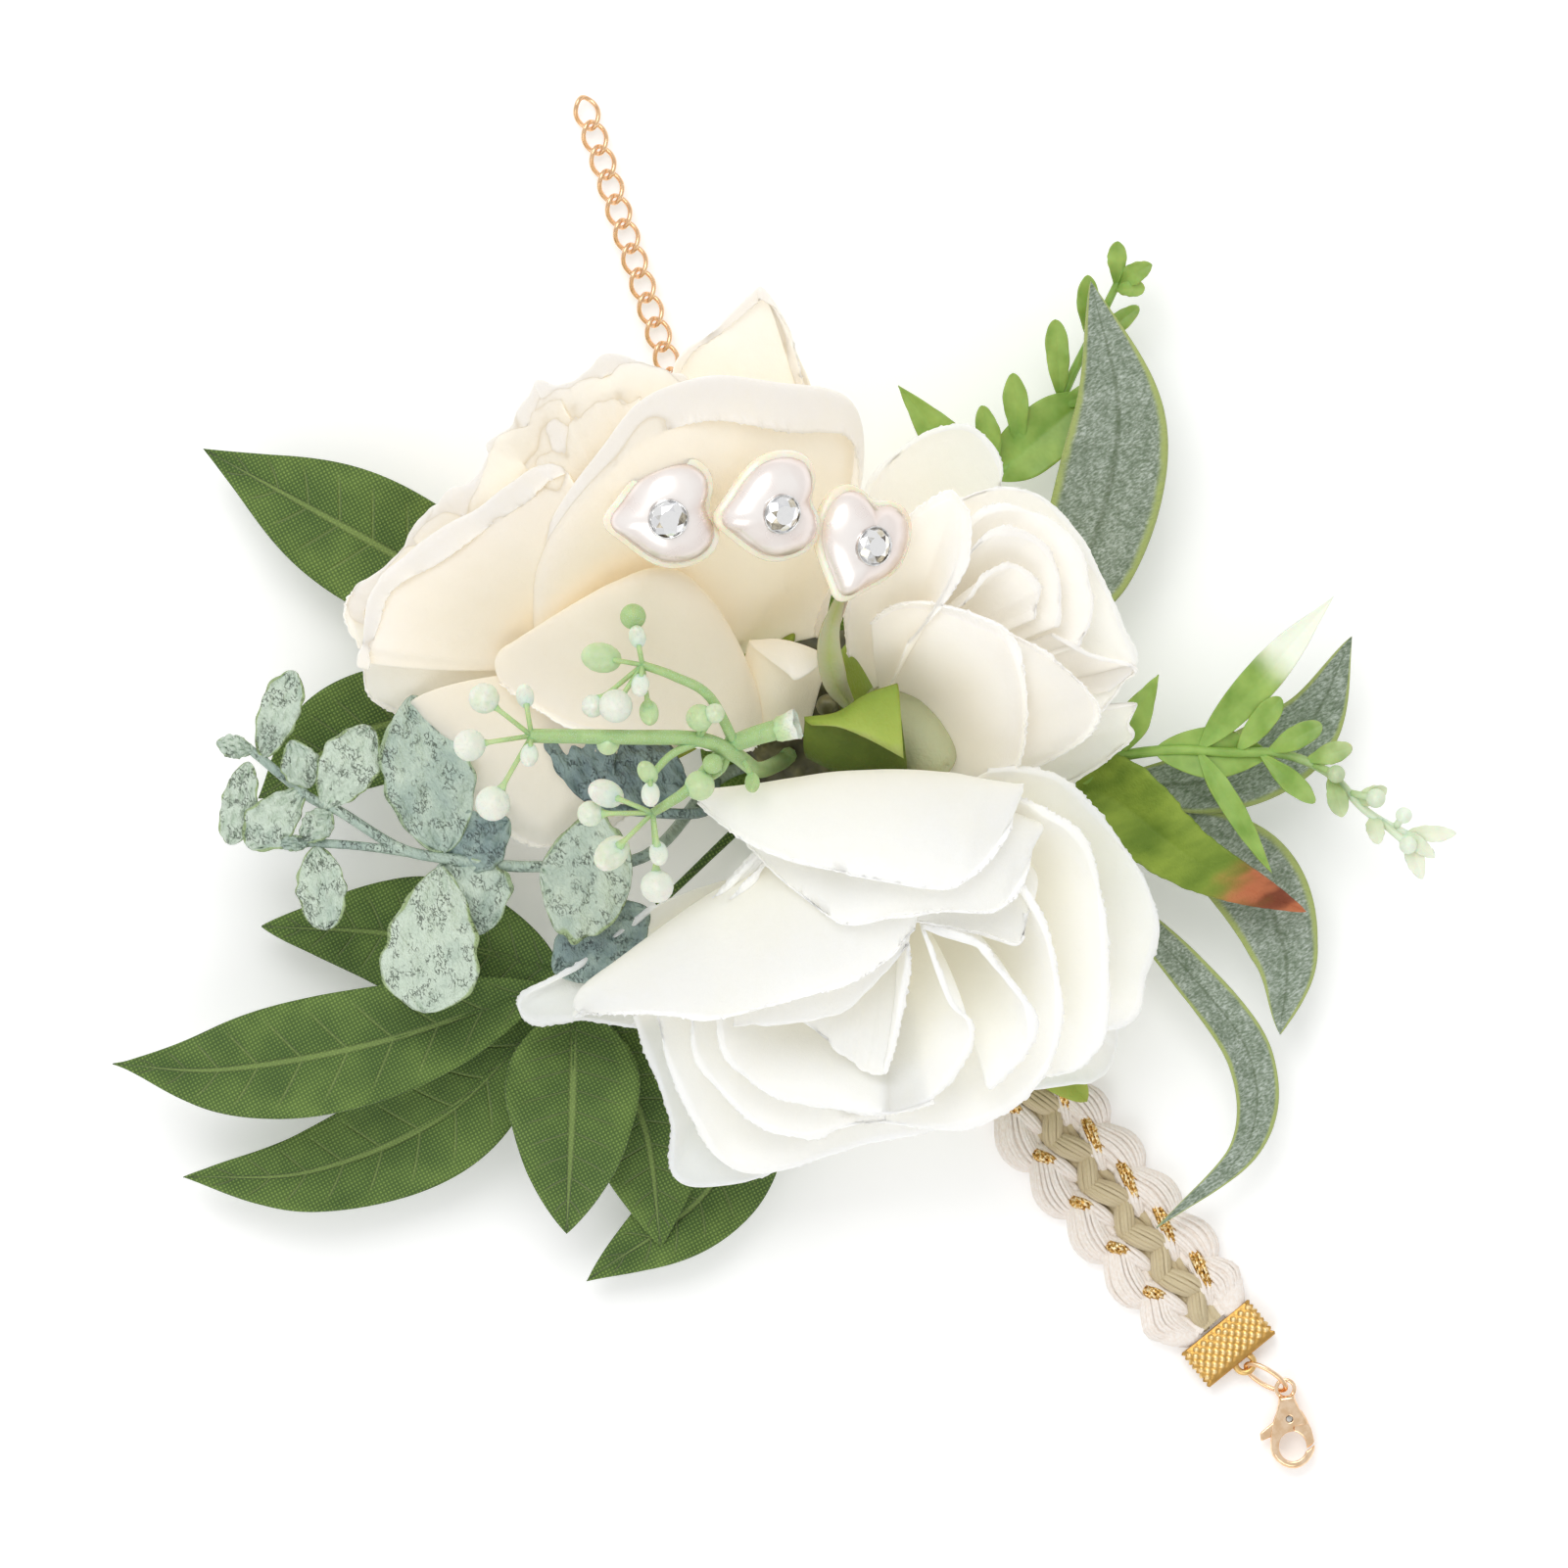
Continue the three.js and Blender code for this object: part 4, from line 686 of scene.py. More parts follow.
green_cloth = leaf_cloth(
    "green_leaf_cloth",
    deep=colour(62, 88, 34),
    pale=colour(136, 164, 80),
    vein=colour(152, 174, 100),
    pairs=11,
    weave=620,
)
GREEN_LEAVES = {
    "leaf_upper_left": (-150, 19, 0.8, ((-27, -28, 7), (-55, -46, 8.5), (-78, -61, 7))),
    "leaf_left": (-122, 17, 0.9, ((-25, -36, 8), (-32, -59, 9.5), (-30.7, -77.3, 8))),
    "leaf_lower_right": (-56, 15, 0.9, ((28, -30, 6.5), (47, -45, 7), (51.4, -68.2, 5.6))),
}
for k, (node, (heading, width, low, route)) in enumerate(GREEN_LEAVES.items()):
    leaf = blade(route, width, fold=0.22, wave=0.7, low=low, high=1.0, seed=k + 2)
    patches = [leaf, stem(heading, along_leaf(route, share=0.8, sink=0.6))]
    piece(f"green_{node}", patches, green_cloth, stands_for=(node,), slot="leaf", thick=LEAF_CLOTH)

# Five more green leaves of the same pressed ribbon fan out from a knob of florist's tape. It is wound
# round the end of one wrapped wire, which runs back to the dome.
KNOB = (13, -49, 12)
KNOB_RADIUS = 2.6
KNOB_HEADING = -76
FAN = (
    (17, 0.75, 0.9, ((10.6, -51, 12), (-3.4, -67.3, 9.6), (-14.5, -85.3, 7))),
    (17, 0.78, 1.15, ((12, -53, 12.4), (8, -77, 16.4), (1, -99, 15.4), (-7.1, -112.8, 13))),
    (16, 0.8, 1.0, ((13.6, -52.4, 12), (21, -74, 9.4), (19.5, -95, 8.4), (11.7, -111.7, 7))),
    (19, 0.85, 0.9, ((15.2, -51, 12.4), (29, -58.5, 16.4), (44, -67.4, 12))),
    (17, 0.85, 0.9, ((16, -49.6, 12), (35, -50.5, 9.4), (52, -56.6, 7))),
)
angles = np.linspace(-np.pi / 2, np.pi / 2, 12)
knob_profile = [(KNOB_RADIUS * math.cos(a) + 0.01, KNOB_RADIUS * math.sin(a)) for a in angles]
knob = turned(knob_profile, sides=24, wobble=0.04) + KNOB
wire = stem(KNOB_HEADING, [(9, -34, 10), KNOB])
piece("leaf_knob", [(knob, "ring", 0.1), wire], green_cloth, stands_for=("leaf_sprig_stem",), slot="leaf")
for k, (width, low, high, route) in enumerate(FAN):
    line = along_leaf(route, share=0.85, sink=0.45)
    rib = tube(line, np.linspace(0.7, 0.25, len(line)))
    leaf = blade(route, width, fold=0.22, wave=0.8, low=low, high=high, seed=k + 7)
    patches = [leaf, (rib, "ring", 0.0)]
    node = f"sprig_leaf_{k + 1}"
    piece(f"green_{node}", patches, green_cloth, stands_for=(node,), slot="leaf", thick=LEAF_CLOTH)

# Four grey-green leaves are flocked: short silvery fibre is blown on to glued cloth, thinner along
# the edges, where the yellow-green dye shows. One is narrow and bends like a ribbon.
flocked, start = material(
    "flocked_leaf_cloth", {"Roughness": 0.9, "Sheen Weight": 0.5, "Sheen Roughness": 0.4}
)
from_rib = share_of_patch(start, ACROSS).away_from(0.5) * 2
flock = grain(start, 0.26, 6, (1, 0.4, 1))
clumps = grain(start, 2.2, 4)
silver = (flock * 0.8 + clumps * 0.3).steps(
    (0.4, colour(108, 124, 102)), (0.56, colour(144, 157, 140)), (0.74, colour(196, 206, 196))
)
worn = (from_rib.band(0.72, 0.98) * (0.55 + clumps)).band(0.2, 1.0)
# Painted shade along the fold of the midrib: the crease is coloured darker.
painted_crease_shade = 1 - from_rib.band(0.02, 0.1)
wear(
    flocked,
    Base_Color=(0.45 * painted_crease_shade).blend(worn.blend(silver, colour(170, 184, 112)), colour(84, 100, 70)),
    bump=(flock + 0.6 * clumps, 0.3),
)
SAGE = {
    "sage_leaf_upper": (
        (108, 15.5, 0.85, 0.12, ((-1, 32, 9), (-6, 42.4, 11), (-21.1, 55.2, 14), (-40.1, 60.8, 15))),
    ),
    "sage_sprig_right": (
        (66, 11, 0.9, 0.12, ((24, 30, 9), (30.2, 43.7, 10), (29.9, 58, 10), (21.4, 70.1, 9))),
        (40, 12.5, 0.85, 0.15, ((27, 27, 8), (42, 40.6, 9), (56.2, 40.9, 9), (66.4, 34.8, 8))),
        (
            14, 6.5, 0.8, 0.3,
            ((34, 22, 7), (52.2, 27.4, 8), (67.5, 29.5, 8), (78.2, 23, 7.4), (82.5, 6.6, 6.5)),
        ),
    ),
}
for node, leaves in SAGE.items():
    patches = []
    for k, (heading, width, low, fold, route) in enumerate(leaves):
        patches.append(blade(route, width, fold, wave=0.5, low=low, high=0.9, seed=k + 20))
        patches.append(stem(heading, along_leaf(route, share=0.6, sink=0.6)))
    piece(f"flocked_{node}", patches, flocked, stands_for=(node,), slot="sage", thick=LEAF_CLOTH)

# One long sepal of olive-green cloth is folded along its middle, and its torn tip is dyed russet
# brown. It is glued to a wrapped wire, as the leaves are.
russet, start = material("olive_sepal_cloth", {"Roughness": 0.7})
along = share_of_patch(start, ALONG)
streaks = grain(start, 3.5, 3, (1, 0.3, 1))
fade = (along + 0.25 * streaks).band(0.82, 1.0)
olive = streaks.band(0.1, 0.9).blend(colour(90, 118, 28), colour(150, 172, 66))
brown = streaks.band(0.35, 0.65).blend(colour(122, 62, 36), colour(186, 110, 72))
wear(russet, Base_Color=fade.blend(olive, brown), bump=(grain(start, 0.4, 3), 0.15))
route = ((21, 22, 13), (25.5, 28.9, 15), (39.4, 35.7, 17.5), (52.6, 46, 15))
sepal = blade(route, width=12, fold=0.45, wave=0.7, low=0.62, high=0.8, seed=31, ragged=0.02)
patches = [sepal, stem(52, along_leaf(route, share=0.5, sink=0.7))]
piece("olive_sepal", patches, russet, stands_for=("russet_sepal",), slot="russet", thick=LEAF_CLOTH)


# The dusty spray is moulded in soft plastic: broad paddles with wrinkled faces on a forked stem.
# Grey-mint paint is rubbed over it and leaves the green bare along the rims. Four leaves near the
# flowers are darker slate blue, partly their own colour and partly painted shade, as they lie in the
# flowers' shadow. The furrows of the wrinkles are coloured darker, which is painted shade.
SPRAY_RADIUS = 0.75
SPRAY_POINTS = 121
FORK_RADIUS = 0.45
INNER_STEM_RADIUS = 0.6
SPRAY_PLASTIC = 0.35
DUSTY_HEADING = -98
NARROW, OVAL, SPOON, BROAD = (0.8, 1.0), (0.95, 0.65), (1.45, 0.52), (1.15, 0.5)


def spot(right, up, height):
    """A place as photographed: to the right and up from the band's middle, and its height above it"""
    cos, sin = math.cos(TURN), math.sin(TURN)
    return np.array((right * cos - up * sin, right * sin + up * cos, height))


def spots(places):
    return [spot(*place) for place in places]


def leaflet(root, tip, width, outline, rise, fold, wave, tone, seed, dip=0.0):
    """A small leaf bowed up from its root on the stem to its tip. dip shifts the tone towards the tip"""
    middle = (np.add(root, tip)) / 2 + (0, 0, rise)
    grid, closed, _ = blade((root, middle, tip), width, fold, wave, *outline, seed)
    dipped = dip * smooth(np.linspace(0, 1, LEAF_ROWS), 0.35, 0.85)[:, None]
    return grid, closed, tone + dipped * np.ones(LEAF_COLUMNS)


def wrinkled(root, tip, width, outline, tone, seed):
    """A leaflet with a wrinkled face and a slightly uneven rim"""
    grid, closed, shade = leaflet(
        root, tip, width, outline, rise=1.4, fold=0.12, wave=0.5, tone=tone, seed=seed
    )
    u = np.linspace(0, 1, LEAF_ROWS)[:, None]
    v = np.linspace(-1, 1, LEAF_COLUMNS)[None]
    phase = np.random.default_rng(seed).uniform(0, 6, 3)
    centre = grid[:, LEAF_COLUMNS // 2, None]
    uneven = 1 + 0.035 * (np.sin(17 * u + phase[0]) + np.sin(29 * u + phase[1])) * np.abs(v)
    grid = centre + (grid - centre) * uneven[..., None]
    wrinkle = np.sin(23 * u + 5 * v + phase[1]) + np.sin(17 * u - 9 * v + phase[2]) + np.sin(13 * v + 9 * u)
    grid[..., 2] += 0.16 * wrinkle
    return grid, closed, shade


def ball(centre, radius, stretch=1.0, tip=0.0, tone=0.5, lean=(0, 0)):
    """A berry, longer than wide by its stretch and drawn out to a tip, its top shifted by its lean"""
    angle = np.linspace(-np.pi / 2, np.pi / 2, 15)
    profile = [(radius * math.cos(a) + 0.01, radius * stretch * math.sin(a)) for a in angle]
    grid = turned(profile, sides=20)
    height = grid[..., 2:] / (radius * stretch)
    grid = grid + height * np.array((*lean, 0)) + np.array((0, 0, tip)) * np.maximum(height, 0) ** 8
    return grid + centre, "ring", tone


dusty, start = material("dusty_painted_leaf", {"Coat Weight": 0.35, "Coat Roughness": 0.25})
tone = tone_of(start)
to_rim = share_of_patch(start, ACROSS).away_from(0.5) * 2
ridge = grain(start, 0.9, 3, (1, 1.8, 1))
broken = grain(start, 2.2, 2).band(0.5, 0.62)
furrow = (1 - ridge.away_from(0.5).band(0.0, 0.035)) * broken
blotch = grain(start, 3.5, 3)
# The paint's colour by tone and blotch. High tones turn it slate blue; on the leaves under the flowers this
# is partly painted shade.
paint = (0.55 * tone + 0.5 * blotch).steps(
    (0.3, colour(204, 220, 202)),
    (0.5, colour(172, 192, 178)),
    (0.7, colour(134, 156, 154)),
    (1.0, colour(84, 104, 112)),
)
bare = (0.7 * to_rim.band(0.8, 1.0) + 1.4 * blotch - 0.9).band(0.2, 0.5) * (1 - tone)
painted = (0.75 * bare).blend(paint, colour(142, 168, 82))
# Painted shade in the furrows of the wrinkles: they are coloured darker, darkest on the leaves under the
# flowers.
painted_furrow_shade = (0.2 + tone).blend(colour(112, 144, 92), colour(52, 68, 76))
wear(
    dusty,
    Base_Color=(0.45 * furrow).blend(painted, painted_furrow_shade),
    Roughness=0.3 + 0.3 * blotch,
    bump=(0.8 * ridge - furrow, 0.9),
)
DUSTY_STEM = (
    (-44, -18.6, 22), (-56, -17.4, 23), (-62.5, -15.9, 23), (-70.7, -10.9, 22), (-75.1, -8.8, 21.5),
    (-81.6, -3.6, 20.5), (-85, -0.8, 20),
)
DUSTY_FORK = ((-59, -17, 23), (-67, -15.8, 22.5), (-74, -15.3, 22), (-76, -15.3, 22))
# Of each leaf: its root, tip, width, outline and tone. The high tones of the leaves under the flowers are
# partly painted shade.
DUSTY_LEAVES = (
    ((-55.6, -17.9, 22), (-47, -12, 22.5), 8.5, OVAL, 0.75),
    ((-55.8, -17.6, 22), (-50.3, -27.8, 22), 13, BROAD, 0.3),
    ((-56, -16.6, 23), (-60.5, 5.4, 25.5), 13.2, OVAL, 0.4),
    ((-56.4, -18.6, 23), (-58.8, -39, 25), 14, SPOON, 0.05),
    ((-40.6, -33.4, 22.5), (-27.4, -24.6, 23.5), 10, OVAL, 0.8),
    ((-42.4, -18.8, 23), (-30, -21.6, 26), 18, BROAD, 0.2),
    ((-72.9, -10.4, 22), (-66.4, 1.0, 24), 8, BROAD, 0.0),
    ((-75, -7.4, 21.5), (-77.6, -1, 23), 5.4, OVAL, 0.15),
    ((-75.6, -7.4, 21), (-83.6, -15.8, 22), 6.8, SPOON, 0.1),
    ((-72, -11, 22), (-76, -14.8, 22.5), 4.4, OVAL, 0.25),
    ((-83.6, -4, 20.5), (-86.2, -15.4, 21), 5, BROAD, 0.0),
    ((-81.6, -3.2, 20.5), (-77.2, 8.8, 22.5), 5.8, BROAD, 0.05),
    ((-83.1, -2.3, 20.5), (-88, -1.2, 21), 3.2, OVAL, 0.3),
    ((-74, -15.8, 22), (-72.6, -27.4, 22.5), 7, BROAD, 0.1),
    ((-75, -15.3, 22), (-80, -15.3, 22), 2.1, OVAL, 0.4),
    ((-22, -8, 24), (-35.4, -1.6, 27), 10, OVAL, 1.0),
    ((-34, -10.4, 25), (-39.4, 6.4, 29), 9, BROAD, 0.95),
)
foot = buried(DUSTY_HEADING)
main_stem = curve([*foot, spot(-28, -17.2, 19), *spots(DUSTY_STEM)], SPRAY_POINTS)
fork = curve(spots(DUSTY_FORK), 30)
inner_stem = curve([foot[1], spot(-20, -11, 21), spot(-34, -10.4, 25)], 20)
patches = [
    (tube(main_stem, SPRAY_RADIUS * np.linspace(1, 0.6, SPRAY_POINTS)), "ring", 0.5),
    (tube(fork, FORK_RADIUS), "ring", 0.5),
    (tube(inner_stem, INNER_STEM_RADIUS), "ring", 0.9),
]
for k, (root, tip, width, outline, shade) in enumerate(DUSTY_LEAVES):
    patches.append(wrinkled(spot(*root), spot(*tip), width, outline, shade, k))
piece("dusty_spray", patches, dusty, stands_for=("eucalyptus_spray",), slot="dusty", thick=SPRAY_PLASTIC)

# Two sprigs are moulded in soft yellow-green plastic, with narrow, spoon-shaped and broad leaves and
# a few buds. Their tips are dipped in white paint, which fades into the green.
fresh, start = material("dipped_green_leaf", {"Subsurface Weight": 0.2, "Subsurface Scale": 1.5 * MM})
along = share_of_patch(start, ALONG)
tone = tone_of(start)
mottle = grain(start, 4, 3)
green = mottle.band(0.1, 0.9).blend(colour(108, 148, 52), colour(160, 194, 98))
wear(
    fresh,
    Base_Color=(tone + 0.15 * along + 0.15 * mottle).band(0.42, 1.0).blend(green, colour(240, 246, 228)),
    Roughness=0.35 + 0.25 * mottle,
    bump=(mottle, 0.25),
)
LEAFLET_RISE = 0.8
LEAFLET_FOLD = 0.2
LEAFLET_WAVE = 0.2
BUD_STALK = 0.35
SPRIGS = {
    "upper_spray": (
        128, 0.2,
        ((19, 34, 10), (24, 38.4, 10), (29.5, 45, 10), (33, 52, 9.5), (36, 58, 9.5), (39.4, 65, 10)),
        (
            (0.3, 5.5, NARROW, (7.8, 49.2, 14)), (0.36, 3.2, SPOON, (19.6, 46.4, 13)),
            (0.46, 3.4, SPOON, (24, 51, 13)), (0.34, 9, OVAL, (35, 48, 10)),
            (0.62, 3.4, SPOON, (30, 58.6, 12)), (0.6, 3.0, SPOON, (37.6, 49.4, 11)),
            (0.8, 3.2, SPOON, (34.6, 64.8, 12)), (0.78, 2.8, SPOON, (41.8, 60.4, 11)),
            (0.97, 2.6, SPOON, (38.8, 69.6, 12)), (0.98, 3.0, OVAL, (43.6, 66.4, 12)),
            (0.96, 2.4, SPOON, (42.6, 63, 11)),
        ),
        (),
    ),
    "right_spray": (
        82, 0.75,
        (
            (32, -6.5, 13), (38, -3.4, 16), (46, -2.2, 18), (54, -2.5, 18.5), (62, -2.8, 18),
            (68.6, -5.6, 18), (74, -11, 17), (81, -14.8, 16),
        ),
        (
            (0.34, 4.4, NARROW, (44.4, 8.4, 20)), (0.42, 7, OVAL, (60, -2.8, 17)),
            (0.5, 5.4, NARROW, (69, 19.4, 21), 0.95), (0.5, 3.2, NARROW, (60.4, -19.6, 20)),
            (0.58, 3.6, SPOON, (61.6, 5.2, 21)), (0.64, 3.4, SPOON, (67.4, 1.4, 20)),
            (0.62, 3.0, SPOON, (66.4, -9.6, 19)), (0.72, 3.0, SPOON, (71.6, -1.8, 20)),
            (0.78, 2.8, SPOON, (70.4, -11.6, 18)), (0.86, 2.6, OVAL, (76.6, -7.6, 18)),
            (0.9, 2.6, OVAL, (75.4, -15.4, 17)), (0.98, 2.4, OVAL, (86.4, -14, 17)),
            (0.98, 2.6, OVAL, (81.6, -20.4, 16)), (0.97, 2.2, OVAL, (83.4, -17.4, 17)),
        ),
        (
            (0.74, 1.1, (69.4, -5.6, 20)), (0.84, 1.2, (75, -9, 19)), (0.92, 1.1, (79.6, -15.6, 18)),
            (0.95, 1.0, (79, -11.4, 18)),
        ),
    ),
}
for node, (heading, whitened, places, leaves, buds) in SPRIGS.items():
    stalk = curve([*buried(heading), *spots(places)], SPRAY_POINTS)
    fade = whitened * np.linspace(0, 1, SPRAY_POINTS) ** 2
    wire = tube(stalk, SPRAY_RADIUS * np.linspace(1, 0.5, SPRAY_POINTS))
    patches = [(wire, "ring", fade[:, None] * np.ones(8))]
    for k, (share, width, outline, tip, *dip) in enumerate(leaves):
        at = int(share * (SPRAY_POINTS - 1))
        shape = (width, outline, LEAFLET_RISE, LEAFLET_FOLD, LEAFLET_WAVE)
        patches.append(leaflet(stalk[at], spot(*tip), *shape, fade[at], k, *dip))
    for share, radius, centre in buds:
        at = int(share * (SPRAY_POINTS - 1))
        centre = spot(*centre)
        patches.append((tube(curve([stalk[at], centre], 8), BUD_STALK), "ring", fade[at]))
        patches.append(ball(centre, radius, stretch=1.2, tip=0.4, tone=fade[at] + 0.1))
    piece(f"green_{node}", patches, fresh, stands_for=(node,), slot="fresh", thick=SPRAY_PLASTIC)

# A stalk with four clusters of pale berries stands on the dome and leans over the cream rose. Berries
# and stalks are moulded in soft plastic and rolled in fine glitter while the lacquer is wet.
berry, start = material("glittered_berry", {"Subsurface Weight": 0.3, "Subsurface Scale": 1.5 * MM})
tone = tone_of(start)
glitter = grain(start, 0.14, 2).band(0.58, 0.7)
cloudy = grain(start, 1.4, 3)
lacquer = (tone + 0.3 * cloudy - 0.1).steps(
    (0.1, colour(158, 192, 126)),
    (0.3, colour(182, 212, 146)),
    (0.6, colour(204, 226, 176)),
    (0.85, colour(238, 242, 228)),
)
wear(
    berry,
    Base_Color=(glitter * (1 - 0.6 * tone)).blend(lacquer, colour(214, 238, 226)),
    Roughness=0.5 - 0.3 * glitter,
    bump=(glitter + 0.4 * cloudy, 0.12),
)
FOOT_RISE = 0.3
STALK_TONE = 0.12
FRILL_ROWS = 6
FRILL_SIDES = 20
BERRY_STALKS = (
    (
        1.2, 1.0,
        (
            (-9, -4, 15), (-12, -5, 38), (-15, -3, 52), (-20.1, -0.8, 55), (-30.8, -0.5, 57),
            (-43.3, -0.3, 55),
        ),
    ),
    (0.75, 0.6, ((-15, -1.6, 53), (-18.7, 5.2, 57), (-23.7, 8, 58), (-27.9, 9.5, 58))),
    (0.9, 0.6, ((-17, -2.6, 53), (-21.5, -7.6, 54.5), (-24.4, -9.7, 55), (-26.5, -11, 55))),
    (0.6, 0.5, ((-20, -1, 55), (-24, -3, 56), (-26.8, -6, 56.5))),
    (0.6, 0.5, ((-16, -2.4, 52), (-17, -5, 52), (-20, -7, 53))),
    (0.5, 0.4, ((-14.6, -3, 51), (-13.4, -4.6, 51.5), (-12.7, -6.4, 52))),
    (1.25, 1.5, ((-16, -1.6, 52.5), (-12, -0.2, 54), (-7.6, 1.0, 54.6))),
)
UPPER_NODE, OUTER_NODE, LOWER_NODE = (-27.9, 9.5, 58), (-43.3, -0.3, 55), (-26.5, -11, 55)
BERRIES = (
    (UPPER_NODE, (-28.6, 13.4, 59.5), 1.2, 1.9, 0.75), (UPPER_NODE, (-29.2, 16.2, 59), 1.8, 1.2, 0.15),
    (UPPER_NODE, (-33.6, 10.5, 58), 2.1, 1.4, 0.55), (UPPER_NODE, (-28.2, 6.7, 59.5), 1.25, 1.8, 0.95),
    (UPPER_NODE, (-31.6, 3.8, 59), 2.35, 1.15, 0.95), (UPPER_NODE, (-34.8, 3.8, 57.5), 1.6, 1.2, 0.8),
    (UPPER_NODE, (-27, 2.9, 57.5), 1.35, 1.5, 0.45), (OUTER_NODE, (-49.9, 4.9, 55.5), 2.15, 1.0, 0.75),
    (OUTER_NODE, (-44.2, 5.2, 56.5), 1.25, 1.8, 0.9), (OUTER_NODE, (-51.9, -1.6, 55), 2.25, 1.1, 0.9),
    (OUTER_NODE, (-43.6, -3.0, 56.5), 1.25, 1.7, 0.95),
    (OUTER_NODE, (-48.7, -9.7, 54), 2.45, 1.1, 0.95),
    ((-30.8, -0.5, 57), (-32.7, -1.4, 55.6), 1.6, 1.1, 0.55),
    ((-26.8, -6, 56.5), (-27.2, -5.4, 57), 1.3, 1.6, 0.5),
    ((-26.8, -6, 56.5), (-26.8, -8.4, 57.5), 1.3, 1.6, 0.85),
    ((-20, -7, 53), (-20, -7.2, 54.2), 2.1, 0.9, 0.5),
    ((-17, -5, 52), (-18.2, -4.2, 55.4), 1.4, 1.2, 0.2),
    ((-12.7, -6.4, 52), (-12.7, -6.8, 52.6), 1.05, 2.0, 0.2),
    ((-20.1, -0.8, 55), (-20, 2.2, 56.8), 1.9, 1.1, 0.5),
    ((-20.1, -0.8, 55), (-17.9, 2.8, 57.8), 1.4, 1.3, 0.65),
    (LOWER_NODE, (-33, -8.3, 55.5), 1.9, 1.35, 0.9), (LOWER_NODE, (-35.2, -11.1, 54), 1.8, 0.9, 0.75),
    (LOWER_NODE, (-32.2, -16.6, 53.5), 2.1, 1.5, 0.75),
    (LOWER_NODE, (-25.7, -16.6, 55.5), 1.3, 1.8, 0.85), (LOWER_NODE, (-25.9, -21.2, 54), 2.3, 1.1, 0.9),
)
foot = np.array((-1, -8, DOME_TOP + FOOT_RISE))
patches = []
for k, (thick, thin, places) in enumerate(BERRY_STALKS):
    stalk = curve([foot, *spots(places)] if k == 0 else spots(places), WIRE_POINTS)
    patches.append((tube(stalk, np.linspace(thick, thin, WIRE_POINTS)), "ring", STALK_TONE))
end = curve([spot(-9.4, 0.4, 54.4), spot(-6.4, 1.3, 55)], FRILL_ROWS)
frill = tube(end, 1.5 + 0.7 * np.linspace(0, 1, FRILL_ROWS), FRILL_SIDES)
frill = frill + 0.12 * rng.normal(0, 1, (FRILL_ROWS, FRILL_SIDES, 3))
patches.append((frill, "ring", np.linspace(0.3, 0.95, FRILL_ROWS)[:, None] * np.ones(FRILL_SIDES)))
for root, centre, radius, stretch, tone in BERRIES:
    root, centre = spot(*root), spot(*centre)
    lean = 0.9 * radius * unit(centre[:2] - root[:2]) * (stretch > 1.3)
    stalk = curve([root, (root + centre) / 2 + (0, 0, 0.5), centre - (0, 0, 0.4)], 14)
    share = np.linspace(0, 1, 14)
    swell = 0.35 + 0.75 * radius * smooth(share, 0.6, 1.0) ** 2
    paler = STALK_TONE + 0.5 * tone * share[:, None] ** 2 * np.ones(8)
    patches.append((tube(stalk, np.minimum(swell, 0.8 * radius)), "ring", paler))
    patches.append(ball(centre, radius, min(stretch, 1.15), tip=0.5, tone=tone, lean=lean))
piece("berry_cluster", patches, berry, stands_for=("berry_spray",), slot="berry")


# Three blooms sit on the dome: a wide white rose, a cream rose seen from behind and an ivory bud.
# Each petal is cut from stiffened cloth, pressed over a warm ball so that it cups, rolled back at the
# rim and glued to the foot.
PETAL_CLOTH = 0.26
# GLOW is a faint painted glow of the petal cloth, which lifts the shade deep in the blooms.
GLOW = 0.09
COLUMN_WIDTH = 0.4
PETAL_ROWS = 26
ROLL_ROWS = 8
DRAPED_COLUMNS = 30
CUP_REACH = 0.8
CUP_RISE = 0.5


